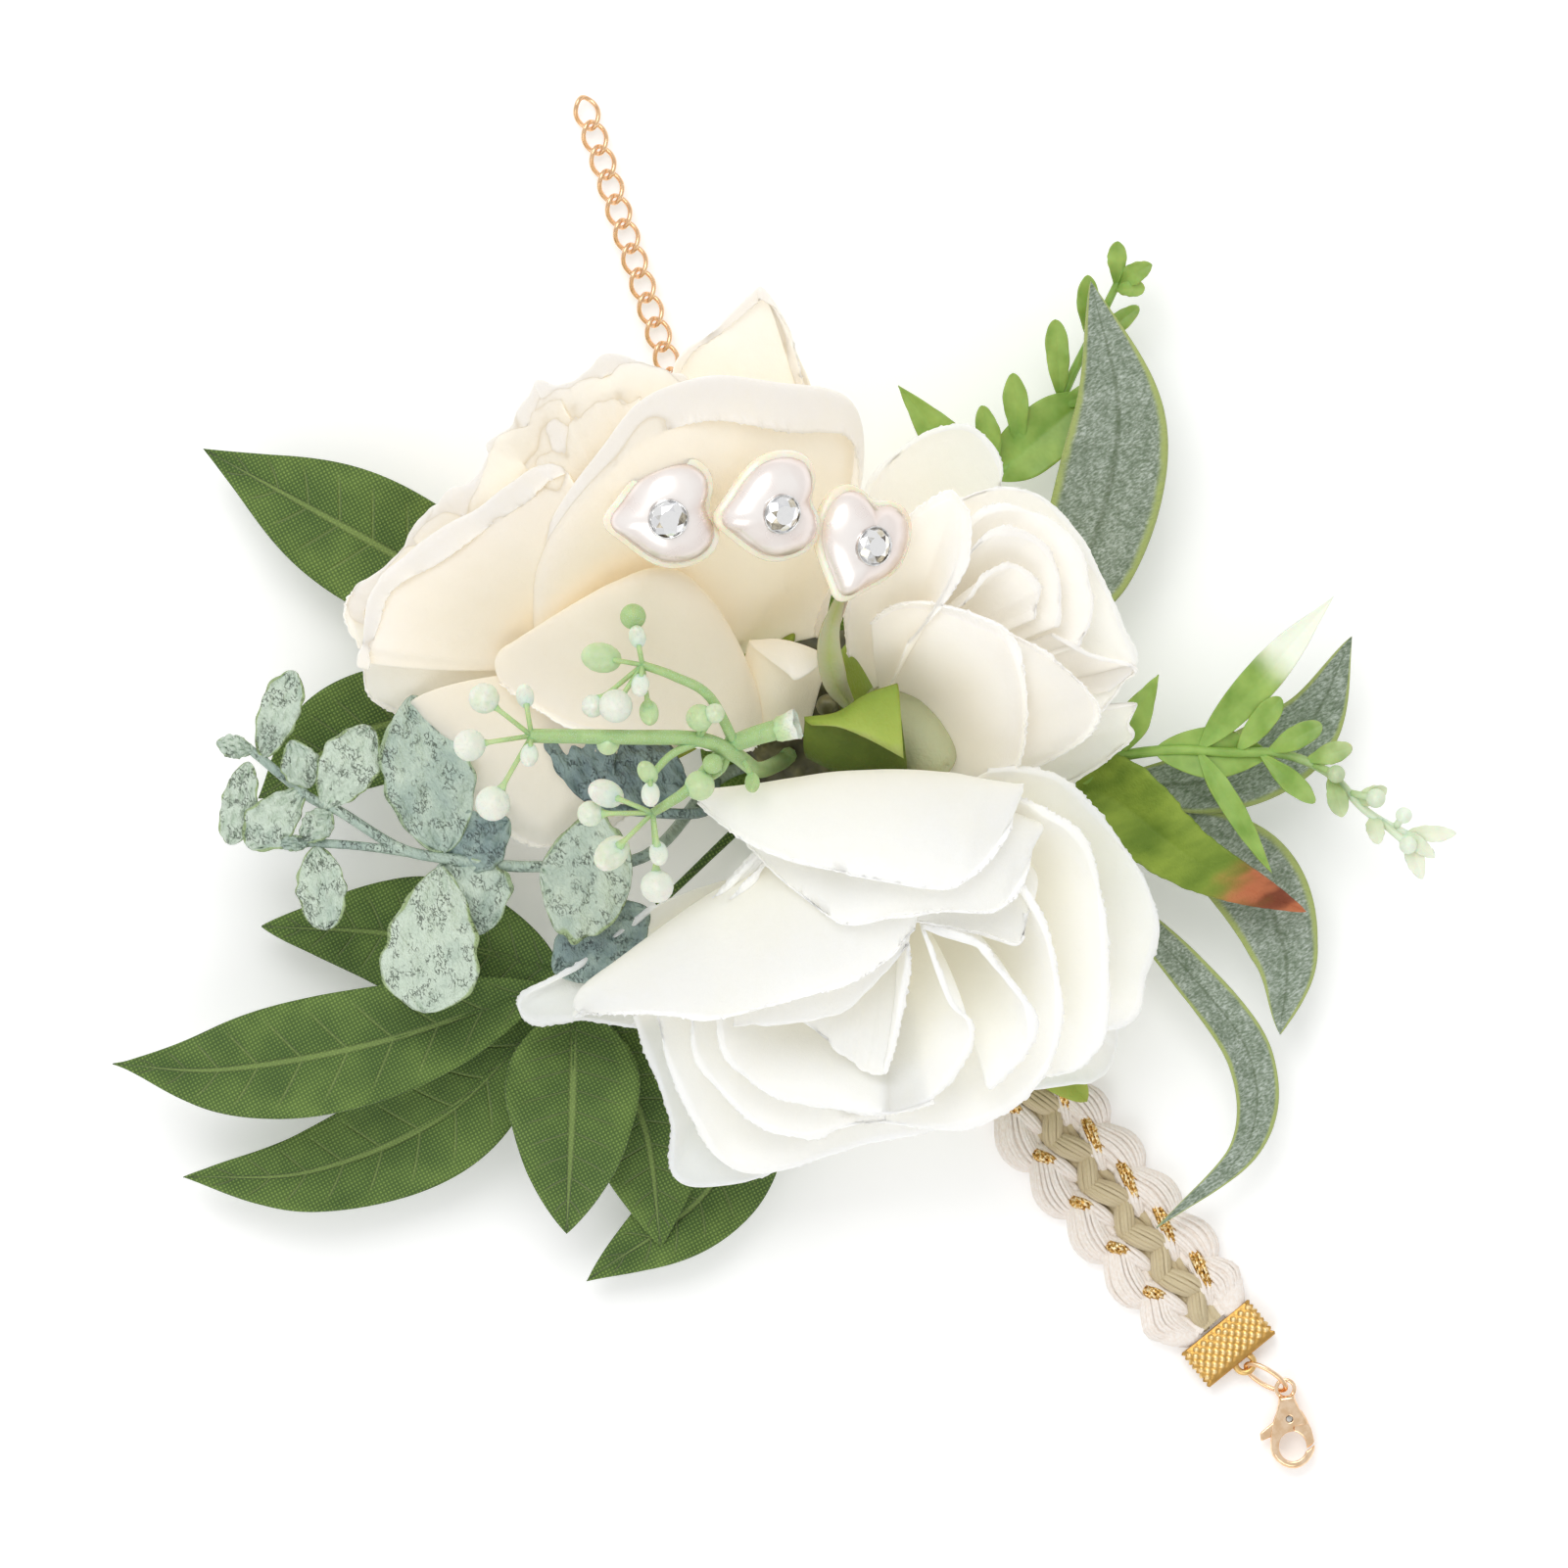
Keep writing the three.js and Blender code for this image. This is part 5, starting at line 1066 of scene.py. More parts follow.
def petal(foot, axis, rim, belly=None, roll=0.5, flap=0.0, ruffle=0.35, seed=0):
    """One cupped petal from the foot to its rolled rim. Rim and belly run across it as photographed.
    The rim may be rolled right back, so that a flap of it lies on the petal's back."""
    draw = np.random.default_rng(seed)
    rim = np.array(spots(rim))
    count = int(np.linalg.norm(np.diff(rim, axis=0), axis=1).sum() / COLUMN_WIDTH) + 12
    rim = curve(rim, count)
    out = rim - foot
    along = (out @ axis)[:, None] * axis
    away = out - along
    if belly is None:
        middle = foot + CUP_REACH * away + CUP_RISE * along
        middle[:, 2] = np.maximum(middle[:, 2], foot[2] + 0.5)
        crest = middle
    else:
        crest = curve(spots(belly), count)
        middle = 2 * crest - 0.5 * (foot + rim)
    start = foot + 1.6 * unit(out) + 0.02 * away
    v = np.linspace(0, 1, PETAL_ROWS)[:, None, None]
    sheet = (1 - v) ** 2 * start + 2 * v * (1 - v) * middle + v**2 * rim
    ahead = unit((rim - crest) * (1, 1, 0.4)) if flap else unit(rim - middle)
    across = unit(np.gradient(rim, axis=0))
    outward = np.cross(ahead, across)
    outward *= np.sign((outward * away).sum(1).mean() or 1)
    outward = unit(outward)
    last = math.radians(165 if flap else 150)
    angle = np.linspace(0, 1, ROLL_ROWS + 1)[1:, None, None] * last
    u = np.linspace(0, 1, count)
    uneven = 0.45 + 0.55 * np.sin(np.pi * u) ** 0.5 + 0.25 * np.sin(7 * u + draw.uniform(0, 6))
    reach = roll * uneven[:, None]
    curled = rim + reach * (np.sin(angle) * ahead + (1 - np.cos(angle)) * outward)
    sheet = np.vstack([sheet, curled])
    share = np.concatenate([v[:, 0, 0], np.ones(ROLL_ROWS)])[:, None]
    if flap:
        back = math.cos(last) * ahead + math.sin(last) * outward
        lip = flap * (uneven + 0.12 * np.sin(23 * u + draw.uniform(0, 6)))[:, None]
        hanging = curled[-1] + np.linspace(0, 1, ROLL_ROWS + 1)[1:, None, None] * lip * back
        sheet = np.vstack([sheet, hanging])
        share = np.vstack([share, np.ones((ROLL_ROWS, 1))])
    wave = sum(np.sin(2 * np.pi * u * f + draw.uniform(0, 6)) / f for f in (2, 3.3, 5.7, 9.1))
    normal = np.cross(np.gradient(sheet, axis=0), np.gradient(sheet, axis=1))
    sheet = sheet + unit(normal) * (ruffle * wave * share**2)[..., None]
    sheet[-2:] += (draw.normal(0, 0.09, count)[:, None] * (ahead + outward))[None]
    # The tone paints shade towards the foot and light on the rolled rim and its flap.
    tone = 0.82 * share + 0.04 * draw.normal() + 0 * u
    tone[PETAL_ROWS:] = 1.0
    return sheet, "", tone


def draped(*lines):
    """A patch through lines of places, each of which runs across it as photographed"""
    lines = [curve(spots(line), DRAPED_COLUMNS) for line in lines]
    columns = [curve([line[k] for line in lines], PETAL_ROWS) for k in range(DRAPED_COLUMNS)]
    return np.stack(columns, 1)


def bloom(name, foot, tilt, towards, petals, cloth, stands_for, slot):
    """All petals of one flower as one piece. tilt and towards give the way in which the flower opens."""
    foot = spot(*foot)
    heading = math.radians(towards) + TURN
    sideways = math.sin(tilt)
    axis = np.array((sideways * math.cos(heading), sideways * math.sin(heading), math.cos(tilt)))
    patches = [petal(foot, axis, seed=k, **shape) for k, shape in enumerate(petals)]
    patches += FOLDED_PETALS.get(name, [])
    return piece(name, patches, cloth, stands_for=stands_for, slot=slot, thick=PETAL_CLOTH)


def petal_cloth(name, deep, pale, edge):
    """Smooth stiffened cloth. Its tone paints shade, warmer and creamier towards the foot of each petal,
    and makes the rolled rims lightest, partly the cloth's own white and partly painted light
    """
    made, start = material(
        name,
        {
            "Subsurface Weight": 0.6,
            "Subsurface Radius": (1.0, 0.9, 0.75),
            "Subsurface Scale": 4 * MM,
            "Emission Color": pale,
            "Emission Strength": GLOW,
        },
    )
    tone = tone_of(start)
    painted_shade_and_rim_light = tone.steps((0.35, deep), (0.72, pale), (0.95, edge))
    blotch = grain(start, 9, 4).band(0.3, 0.7)
    weave = grain(start, 0.22, 2)
    wear(
        made,
        Base_Color=(0.25 * blotch).blend(painted_shade_and_rim_light, deep),
        Roughness=0.62 + 0.2 * weave,
        bump=(weave + 2.5 * grain(start, 2.4, 2), 0.05),
    )
    return made


white_cloth = petal_cloth(
    "white_petal_cloth", deep=colour(247, 242, 220), pale=colour(251, 251, 247), edge=colour(253, 253, 253)
)
cream_cloth = petal_cloth(
    "cream_petal_cloth", deep=colour(251, 236, 204), pale=colour(253, 243, 222), edge=colour(254, 250, 243)
)
ivory_cloth = petal_cloth(
    "ivory_petal_cloth", deep=colour(249, 240, 220), pale=colour(252, 248, 238), edge=colour(254, 252, 248)
)

WHITE_ROSE = (
    dict(rim=(
        (41.8, -36.9, 17), (38.6, -40.7, 16), (38, -45.1, 16), (35.4, -48.3, 16), (30.1, -48.9, 17),
        (20, -51, 19),
    )),
    dict(rim=(
        (-26, -24, 24), (-36, -32, 24), (-44.7, -36.9, 24), (-43.5, -39.6, 24), (-37.1, -39.5, 25),
        (-28, -41, 25),
    )),
    dict(rim=(
        (20, -5.5, 30), (25, -5.4, 31), (30.1, -6.8, 31), (34.2, -10.6, 30), (38.9, -15.9, 28),
        (42.4, -21.7, 27), (43.6, -27.5, 26), (41.8, -33.4, 25), (40.7, -38.7, 25), (37.2, -40.7, 26),
        (32, -40, 26),
    ), roll=0.5),
    dict(rim=(
        (-28.9, -39.2, 27), (-26.5, -45.1, 25), (-23.6, -54.4, 22), (-23, -62, 19), (-14.3, -62.6, 19),
        (-4.9, -59.1, 21), (5, -56.2, 23), (13.2, -53.8, 25),
    )),
    dict(rim=(
        (22, -8, 38), (27.8, -11.2, 38), (32.5, -14.7, 37), (34.8, -20.5, 35), (36, -28.7, 34),
        (36, -40.4, 32), (34.2, -45.1, 31), (29.6, -47.4, 30), (22, -47, 30),
    ), roll=0.5),
    dict(rim=(
        (-26, -38.7, 31), (-24.2, -45.1, 29), (-20.1, -53.8, 26), (-15.4, -60.3, 23), (-8, -60.3, 23),
        (2, -57, 25), (12, -55, 27), (20, -52, 28),
    )),
    dict(rim=(
        (20, -14, 44), (23.7, -20, 43), (27.2, -25.8, 42), (29, -32.2, 41), (29.6, -40.4, 39),
        (27.2, -47.4, 36), (22, -52.1, 33), (15, -54.4, 31), (5.6, -54, 30), (-0.2, -53.8, 30),
    ), roll=0.5),
    dict(rim=(
        (-21, -39.2, 36), (-20.1, -45.1, 34), (-15.4, -50.9, 32), (-10.8, -54.4, 30), (-4.9, -55.6, 30),
        (-0.8, -54.6, 31), (6, -54, 32),
    )),
    dict(rim=(
        (-10, -16.5, 40), (-20.7, -27, 36), (-31, -35.5, 32), (-37.1, -39.8, 29),
    ), belly=(
        (-6, -15, 28), (-16, -22, 27), (-24, -29, 25), (-30, -34, 24),
    ), roll=1.1),
    dict(rim=(
        (-37, -39, 30), (-26.5, -38.4, 37), (-16.6, -38.9, 41), (-4.9, -35.9, 44), (4.4, -32.4, 45),
        (10, -27, 46),
    ), belly=(
        (-30, -31, 31), (-21, -24, 37), (-12, -19.5, 40), (-3, -16.5, 41), (4, -15.5, 41), (10, -16, 40),
    ), roll=0.45),
    dict(rim=(
        (-17.2, -39.2, 38), (-16, -44.5, 37), (-10.8, -49.2, 35), (-4.9, -50.9, 35), (0.9, -52.1, 35),
        (6.8, -52.7, 35), (12.6, -51, 37),
    ), roll=0.45),
    dict(rim=(
        (11, -27, 44), (17.9, -29.3, 46), (20.6, -32.2, 46), (25.6, -38.7, 43), (25, -43.9, 41),
        (20, -49, 38),
    ), roll=0.6),
    dict(rim=(
        (10.9, -27.5, 44), (14.4, -36.9, 43), (17.3, -40.4, 42), (17, -43.9, 41), (13.8, -48.6, 39),
        (10.4, -51.4, 36.5), (3.8, -52.6, 33.5), (-4, -50, 29), (-9, -46, 26),
    ), roll=0.45),
    dict(rim=(
        (-10.5, -18, 42), (-15, -23.4, 41), (-22, -31.5, 37), (-28, -37.6, 33.5),
    ), belly=(
        (-7, -15.5, 31), (-11, -19, 31), (-17, -25, 29), (-22, -30, 27),
    ), roll=0.5),
    dict(rim=(
        (-11.8, -17, 41), (-17.5, -23.6, 39), (-25.6, -31.6, 35), (-33.4, -38.9, 31),
    ), belly=(
        (-7, -15, 29.5), (-13, -20, 29), (-20, -27, 27), (-26, -32, 25),
    ), roll=0.6),
    dict(rim=(
        (-15.4, -40.7, 38), (-9.6, -40, 39), (-1.4, -38.9, 40), (4, -34.5, 41.5), (9, -29.5, 43),
    ), belly=(
        (-10, -28, 33), (-5, -24, 35), (0, -22, 36), (5, -20, 37), (9, -19, 38),
    ), roll=0.5),
    dict(rim=(
        (-6.1, -39.4, 34), (-2, -43, 33.5), (0.9, -45.1, 33), (3, -47, 33), (5.8, -47.2, 34),
    ), belly=(
        (-3, -31, 30), (0, -30, 31), (3, -30, 32), (5, -29, 33), (8, -28, 34),
    ), roll=0.4),
    dict(rim=(
        (9, -29, 42), (8.5, -33, 41), (7.4, -39, 39), (6.6, -44, 37), (5.7, -47.4, 35),
    ), roll=0.4, ruffle=0.1),
    dict(rim=(
        (-2, -26.5, 42), (5, -26, 44), (12.6, -26.3, 45), (19, -27.5, 44), (24.3, -29, 42),
        (25.5, -25, 41),
    ), belly=(
        (0, -15, 33), (5, -13, 35), (10, -12, 36), (16, -13, 36), (21, -15, 34), (24, -17, 32),
    ), roll=0.45),
    dict(rim=(
        (-16, -12, 40), (-8.4, -20, 45), (-0.2, -26.1, 47), (6.8, -25, 49), (13.8, -24.4, 49),
        (20.8, -24.3, 47), (24.3, -20.5, 44), (26.4, -15.5, 40),
    ), belly=(
        (-12, -10, 33), (-6, -9.5, 38), (1, -9, 40), (7, -8.5, 41), (13, -8.8, 41), (18, -9.5, 39),
        (22, -10.5, 36), (24.5, -12, 33),
    ), roll=0.45),
    dict(rim=(
        (-20.1, -9.4, 42), (-13.1, -14.5, 48), (-3.7, -18.2, 51), (6.8, -20.5, 53), (14.4, -21, 52),
        (18.5, -18.4, 50), (22.6, -13, 46), (23.5, -8.5, 42),
    ), belly=(
        (-17, -8.4, 34), (-11, -7, 40), (-3, -5.7, 43), (6, -5.2, 44), (13, -5.4, 43), (17.5, -6, 41),
        (21, -7, 37), (22.5, -8, 34),
    ), roll=0.45),
)
CREAM_ROSE = (
    dict(rim=(
        (-62, 3, 20), (-66.5, 6, 22), (-67.3, 12, 24), (-69, 17.2, 26), (-67.5, 19.8, 27),
        (-64.8, 20, 28), (-56, 24, 31), (-46, 26, 33),
    ), belly=(
        (-40, 2, 21), (-44, 6, 25), (-46, 9, 28), (-46, 12, 30), (-44, 14, 32), (-41, 16, 33),
        (-37, 18, 34), (-33, 20, 34),
    )),
    dict(rim=(
        (-24, 47, 40), (-22.4, 52.5, 42), (-17.8, 56.4, 42), (-12.7, 61, 41), (-10.8, 61, 41),
        (-8.2, 53.8, 39), (-6.2, 47.7, 37), (-3, 38, 32),
    ), belly=(
        (-13, 38, 33), (-12, 39, 34), (-10, 39, 34), (-7, 38, 33), (-5, 37, 32), (-3, 35, 31),
        (-2, 33, 29), (-1, 31, 27),
    ), roll=0.5, flap=1.2),
    dict(rim=(
        (-68, 16, 24), (-68.3, 19.4, 26), (-64.8, 22.5, 28), (-60.1, 27.2, 31), (-57, 31, 34),
        (-52, 34, 37),
    ), belly=(
        (-52, 11, 27), (-52, 14, 30), (-51, 17, 33), (-48, 21, 36), (-45, 24, 39), (-42, 28, 41),
    ), roll=0.8, flap=2.6, ruffle=0.5),
    dict(rim=(
        (-60.1, 27.5, 32), (-55.5, 32, 36), (-51.2, 34.4, 39), (-49.2, 38.1, 40), (-48.6, 40.8, 41),
        (-45, 42.9, 43), (-43, 45.5, 44), (-39, 46, 46),
    ), belly=(
        (-48, 21, 36), (-46, 24, 39), (-44, 27, 41), (-42, 30, 43), (-40, 33, 45), (-38, 35, 46),
        (-36, 37, 47), (-34, 38, 48),
    ), roll=0.8, flap=3.0, ruffle=0.8),
    dict(rim=(
        (-46, 41, 43), (-43.6, 45.5, 44), (-42, 48.2, 44), (-38.2, 48.2, 46), (-34.9, 50, 47),
        (-31, 51.9, 48), (-26.7, 50.8, 49), (-22, 49, 48),
    ), belly=(
        (-38, 30, 45), (-36, 33, 47), (-34, 35, 48), (-32, 37, 49), (-30, 38, 50), (-28, 39, 51),
        (-25, 39, 51), (-22, 39, 49),
    ), roll=0.8, flap=3.0, ruffle=0.8),
    dict(rim=(
        (-44, 36, 45), (-41, 41, 47), (-37.5, 44.6, 49), (-33, 46.8, 51), (-28, 47, 53),
    ), belly=(
        (-36, 27, 46), (-34, 30, 48), (-32, 33, 50), (-29, 35, 52), (-26, 36, 53),
    ), roll=0.8, flap=4.0, ruffle=0.8),
    dict(rim=(
        (-67.4, 10, 28), (-66.8, 14, 31), (-64.8, 20.5, 35), (-59, 25.5, 39), (-50.6, 31, 44),
        (-43, 36, 48), (-38.6, 37, 51),
    ), belly=(
        (-48, 9, 31), (-47, 11, 33), (-46, 15, 37), (-43, 19, 41), (-38, 22, 44), (-34, 24, 46),
        (-31, 26, 47),
    ), roll=0.9, flap=2.4, ruffle=0.5),
    dict(rim=(
        (-43.6, 13, 33), (-43.4, 17, 37), (-42.6, 24.5, 44), (-38, 32, 51), (-32, 39.5, 57),
        (-27.5, 45.3, 60), (-22.5, 47.6, 60), (-17.8, 48.4, 57), (-10.3, 47.6, 51), (-0.4, 46, 43),
        (1.4, 38, 37), (-1.4, 25, 28), (-3, 14, 22),
    ), belly=(
        (-35, 11.5, 34), (-36, 14, 38), (-36.5, 18, 43), (-34, 24, 50), (-30, 28, 55), (-26, 30, 58),
        (-22, 30.5, 57), (-17, 31, 53), (-10.5, 30.8, 46), (-6, 28, 38), (-4.5, 25, 33), (-5.5, 18, 26),
        (-7, 13, 22),
    ), roll=1.0, flap=4.6, ruffle=0.25),
    dict(rim=(
        (-61.7, 3.8, 23), (-57, -7, 18), (-49, -12, 17), (-41.7, -15.3, 16), (-33, -12, 18),
        (-24, -5, 20),
    ), belly=(
        (-47.5, 8.4, 32), (-44, 5, 31), (-38, 1, 30), (-33, -1, 28), (-28, 0, 27), (-21, 4, 25),
    )),
    dict(rim=(
        (-48, 7.4, 32), (-43, 4.5, 35), (-37, 1.5, 36), (-30, 0.5, 36), (-21, -1, 32), (-14, -2, 27),
        (-10.5, 1, 23),
    ), belly=(
        (-42.6, 13.4, 37), (-37.5, 17.6, 44), (-31, 21.5, 50), (-25, 22.9, 53), (-19.5, 19.2, 48),
        (-15, 13, 38), (-11.8, 6, 27),
    ), roll=0.5, ruffle=0.1),
)
FOLDED_PETALS = {
    "cream_rose_petals": [
        (
            draped(
                ((-13.5, 1, 23), (-11, 0, 24), (-8, -0.6, 24), (-5, 0.4, 22)),
                ((-14.3, 7, 29), (-11, 6, 31), (-8, 5.6, 31), (-3.6, 5.6, 28)),
                ((-13.3, 12.6, 33.4), (-9.6, 13.0, 35), (-6, 12.3, 35), (-2.2, 10.5, 32.6)),
                ((-13.0, 12.6, 34.2), (-8.8, 11.2, 36.2), (-6.2, 10.4, 36.2), (-2.3, 10.6, 33.4)),
                ((-12.6, 12.2, 34.2), (-8.0, 8.6, 36.4), (-6.4, 7.6, 36.4), (-2.6, 10.2, 33.6)),
            ),
            "",
            np.linspace(0.35, 1, PETAL_ROWS)[:, None] * np.ones(DRAPED_COLUMNS),
        )
    ],
}
ROSE_BUD = (
    dict(rim=(
        (1.5, 27, 22), (2.6, 31.5, 23), (5.5, 37, 24), (11.4, 41.5, 25), (17.5, 42.5, 25), (21.5, 38, 25),
        (22, 32, 25),
    )),
    dict(rim=(
        (14, 31.5, 33), (20.8, 34, 33), (26.2, 33.5, 34), (30.1, 30.3, 34), (33.2, 25.7, 34),
        (36.7, 19.4, 34), (38.7, 14.4, 33), (40.4, 9.6, 32), (37, 6, 30),
    ), roll=0.5),
    dict(rim=(
        (26, 1, 24), (33, 3.4, 26), (40.8, 4.6, 27), (39.6, 1.8, 25), (40.3, -0.4, 23), (36.5, -3.5, 20),
        (30.9, -6.7, 18), (22, -7.5, 18),
    )),
    dict(rim=(
        (29, 14, 36), (34, 11.5, 35), (40.3, 9.7, 32), (39, 7, 30), (36, 3, 29), (30, 0, 27),
    ), roll=0.45),
    dict(rim=(
        (15, 26, 41), (19.2, 30.2, 41), (23.5, 31, 41), (29, 28.8, 40), (33, 24.1, 39), (34.4, 17, 37),
        (32.5, 12, 36),
    ), roll=0.5),
    dict(rim=(
        (15, 21, 42), (18.4, 25.6, 43), (22, 27.8, 43), (27.4, 26, 41), (30, 20.5, 40), (29.6, 15, 38),
    ), roll=0.45),
    dict(rim=(
        (17, 18, 42), (19.6, 21.6, 43), (23.5, 23, 42), (26.6, 20, 41), (26.6, 16, 39),
    ), roll=0.45),
    dict(rim=(
        (1, 11, 27), (0.9, 16, 30), (2.2, 22, 34), (7.5, 27.8, 38), (12.2, 31.1, 40), (15.4, 32.3, 41),
        (16.4, 29.6, 43), (15.7, 23.3, 45), (12.2, 17.1, 45), (9, 13, 42),
    ), belly=(
        (2.6, 9.5, 25), (3, 11.5, 27), (4, 14.5, 30), (7, 18, 34), (9.5, 20, 37), (11.5, 20, 39),
        (12, 18.5, 40), (11.5, 15.5, 40), (10, 12.5, 39), (8, 10, 37),
    ), roll=0.8),
    dict(rim=(
        (20, 13.4, 38), (24, 12.9, 40), (29.7, 9.7, 39), (33.2, 6.6, 37), (34.9, 2.7, 33), (32, -1, 29),
        (25, -5, 25),
    ), belly=(
        (14, 9, 34), (17, 8.5, 36), (20, 6.5, 36), (22, 4, 34), (22, 1, 31), (20, -2, 28), (16, -4, 25),
    ), roll=0.5),
    dict(rim=(
        (4, 15.3, 36), (8, 17.3, 40), (12.6, 17, 43), (18, 15, 44), (22.6, 12.4, 43), (24.7, 4.6, 39),
        (23.4, -4.6, 30), (16.5, -7, 25),
    ), belly=(
        (4.5, 10, 31), (7.5, 11, 35), (11, 10.8, 38), (14.5, 9, 39), (17, 6.5, 38), (17.2, 2, 34),
        (15.6, -2, 29), (12, -3, 25),
    ), roll=0.9, ruffle=0.2),
)
BLOOMS = (
    ("white_rose", (4, -16, 17), math.radians(37), -90, WHITE_ROSE, white_cloth, "white_petal"),
    ("cream_rose", (-15.9, 10.8, 19), math.radians(62), 128, CREAM_ROSE, cream_cloth, "cream_petal"),
    ("rose_bud", (5.7, 4.2, 18), math.radians(64), 20, ROSE_BUD, ivory_cloth, "ivory_petal"),
)
for name, foot, tilt, towards, petals, cloth, slot in BLOOMS:
    whorls = [f"{name}_{whorl}" for whorl in ("core", "inner_petals", "middle_petals", "outer_petals")]
    present = [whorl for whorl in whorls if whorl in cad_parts]
    bloom(f"{name}_petals", foot, tilt, towards, petals, cloth, present, slot)

# Below each bloom a dished green calyx is moulded in soft plastic on a stalk, which is bent down and
# glued on the dome. Narrow sepals rise from it. One of the bud's is folded over, yellow-green outside
# and dark inside, darkest down in its hollow, where the dark is painted shade.
STALK_RADIUS = 1.6
STALK_BEND = 5
CALYX_WALL = 0.3
CALYX_PROFILE = ((0.1, -3.2), (4, -3.1), (8.5, -2.2), (9.9, -1.1), (9.6, -0.6), (6, -0.9), (0.1, -1.0))
CALYX_FEET = {"white_rose": (7, -2), "cream_rose": (-7, -5), "rose_bud": (-1, 4)}


def leaning(grid, place, tilt, towards, spin):
    """A grid spun about its own axis, tilted towards a direction and moved to its place"""
    a, b, c = (math.radians(value) for value in (tilt, towards, spin))
    spun = np.array(((math.cos(c), math.sin(c), 0), (-math.sin(c), math.cos(c), 0), (0, 0, 1)))
    tilted = np.array(((math.cos(a), 0, -math.sin(a)), (0, 1, 0), (math.sin(a), 0, math.cos(a))))
    turned_to = np.array(((math.cos(b), math.sin(b), 0), (-math.sin(b), math.cos(b), 0), (0, 0, 1)))
    return grid @ spun @ tilted @ turned_to + place


green_skin, start = material("calyx_skin", {"Subsurface Weight": 0.2, "Subsurface Scale": 1.2 * MM})
tone = tone_of(start)
fuzz = grain(start, 0.5, 4)
cloudy = grain(start, 5, 3)
skin = (tone + 0.25 * cloudy - 0.1).steps(
    (0.1, colour(84, 104, 34)),
    (0.45, colour(136, 158, 56)),
    (0.75, colour(166, 186, 84)),
    (1.0, colour(182, 186, 150)),
)
wear(green_skin, Base_Color=skin, Roughness=0.45 + 0.35 * fuzz, bump=(fuzz + cloudy, 0.15))
strip = ((1.6, 3, 28), (-1.2, 7.5, 34), (-1.9, 14, 38), (0.6, 21.6, 38))
peeking = ((10, -22, 14), (22, -38, 13), (34.5, -51.8, 12))
back_sepal = ((-16, 10, 18), (-22, 2, 18), (-30, -6, 16))
lobe = draped(
    ((4, 1, 19), (5, 1, 19), (6, 1, 19), (7, 1, 19)),
    ((-4.6, -3.5, 31), (-0.5, -5.5, 32), (4, -6, 32), (9, -5.6, 32)),
    ((-5.4, 1.9, 36), (-1.0, 2.4, 38), (3.2, 4.6, 40), (7.6, 5.9, 41)),
    ((-5.2, 1.8, 37), (-0.8, 2.1, 39.2), (3.4, 4.2, 41.2), (7.8, 5.4, 42)),
    ((-4.4, 1.3, 37), (-0.5, 0.9, 39.4), (3.6, -0.8, 41), (8.4, -3.4, 40.6)),
)
swollen = curve(spots(((5.7, 4.2, 18), (9, 1, 24), (12, -2.4, 28), (14.6, -4.4, 31))), 24)
SEPALS = {
    "white_rose": [
        blade(spots(peeking), width=12, fold=0.15, wave=0.3, low=0.7, high=0.6, seed=41, tone=0.55)
    ],
    "cream_rose": [
        blade(spots(back_sepal), width=9, fold=0.2, wave=0.3, low=0.7, high=0.8, seed=42, tone=0.4)
    ],
    "rose_bud": [
        # The folded sepal's tone runs from dark in its hollow, which is painted shade, to pale at its fold.
        (lobe, "", np.linspace(0, 1, PETAL_ROWS)[:, None] ** 2 * 0.8 * np.ones(DRAPED_COLUMNS)),
        (tube(swollen, 5.2 * np.sin(np.linspace(0.5, np.pi, 24)) ** 0.6 + 0.05, 24), "ring", 1.0),
        blade(spots(strip), width=3.4, fold=0.3, wave=0.2, low=0.8, high=0.7, seed=43, tone=0.85),
    ],
}
for name, foot, tilt, towards, *_ in BLOOMS:
    foot, heading = spot(*foot), towards + math.degrees(TURN)
    axis = np.array((*(direction(heading) * math.sin(tilt)), math.cos(tilt)))
    seat = np.array((*CALYX_FEET[name], DOME_TOP + FOOT_RISE))
    stalk = curve([foot - axis, foot - STALK_BEND * axis, seat + (0, 0, STALK_RADIUS), seat], 40)
    dish = turned(CALYX_PROFILE, sides=60, wobble=0.02)
    dish = leaning(dish, foot, math.degrees(tilt), heading, spin=0)
    patches = [(dish, "ring", 0.45), (tube(stalk, STALK_RADIUS, 12), "ring", 0.3), *SEPALS[name]]
    node = f"{name}_calyx"
    piece(f"{name}_green_calyx", patches, green_skin, stands_for=(node,), slot="calyx", thick=CALYX_WALL)
BEAD = (-2.2, 4, 31)
BEAD_RADIUS = 1.6
BEAD_THREAD = 0.7
bead = ball(spot(*BEAD), BEAD_RADIUS)
thread = curve([(-1, 0, DOME_TOP), spot(-1.8, 3, 20), spot(*BEAD)], 20)
piece("glue_bead", [bead, (tube(thread, BEAD_THREAD), "ring", 0.5)], glue, slot="glue")


# Three hearts are moulded in a clear peach resin with a pearl-painted dome. Two are glued on the
# cream rose's upper petal, the third stands on a wire from the dome. Each carries a foil-backed cut
# stone in a silver cup.
HEART_WIDTH = 14
HEART_BASE = 2.5
HEART_POINT = (0, -1.2)
HEART_FLANK = ((0.45, -0.62), (1.02, -0.42), (1, 0.22))
HEART_LOBE = ((0.98, 1.0), (0.34, 1.06), (0, 0.74))
STONE_RADIUS = 2.7
STONE_RINGS = ((1.35, 3.8), (2.1, 3.4), (2.7, 2.8))
FACETS = 8
HEART_WIRE = 0.5
# Of each heart: its place, tilt, the heading of its tilt and its spin.
HEARTS = (
    ((-38.2, -7.7, 61.6), 14, 10, -30),
    ((-31.9, 5.9, 58.6), 28, 35, -54),
    ((-22, 14.8, 49), 32, 50, -8),
)


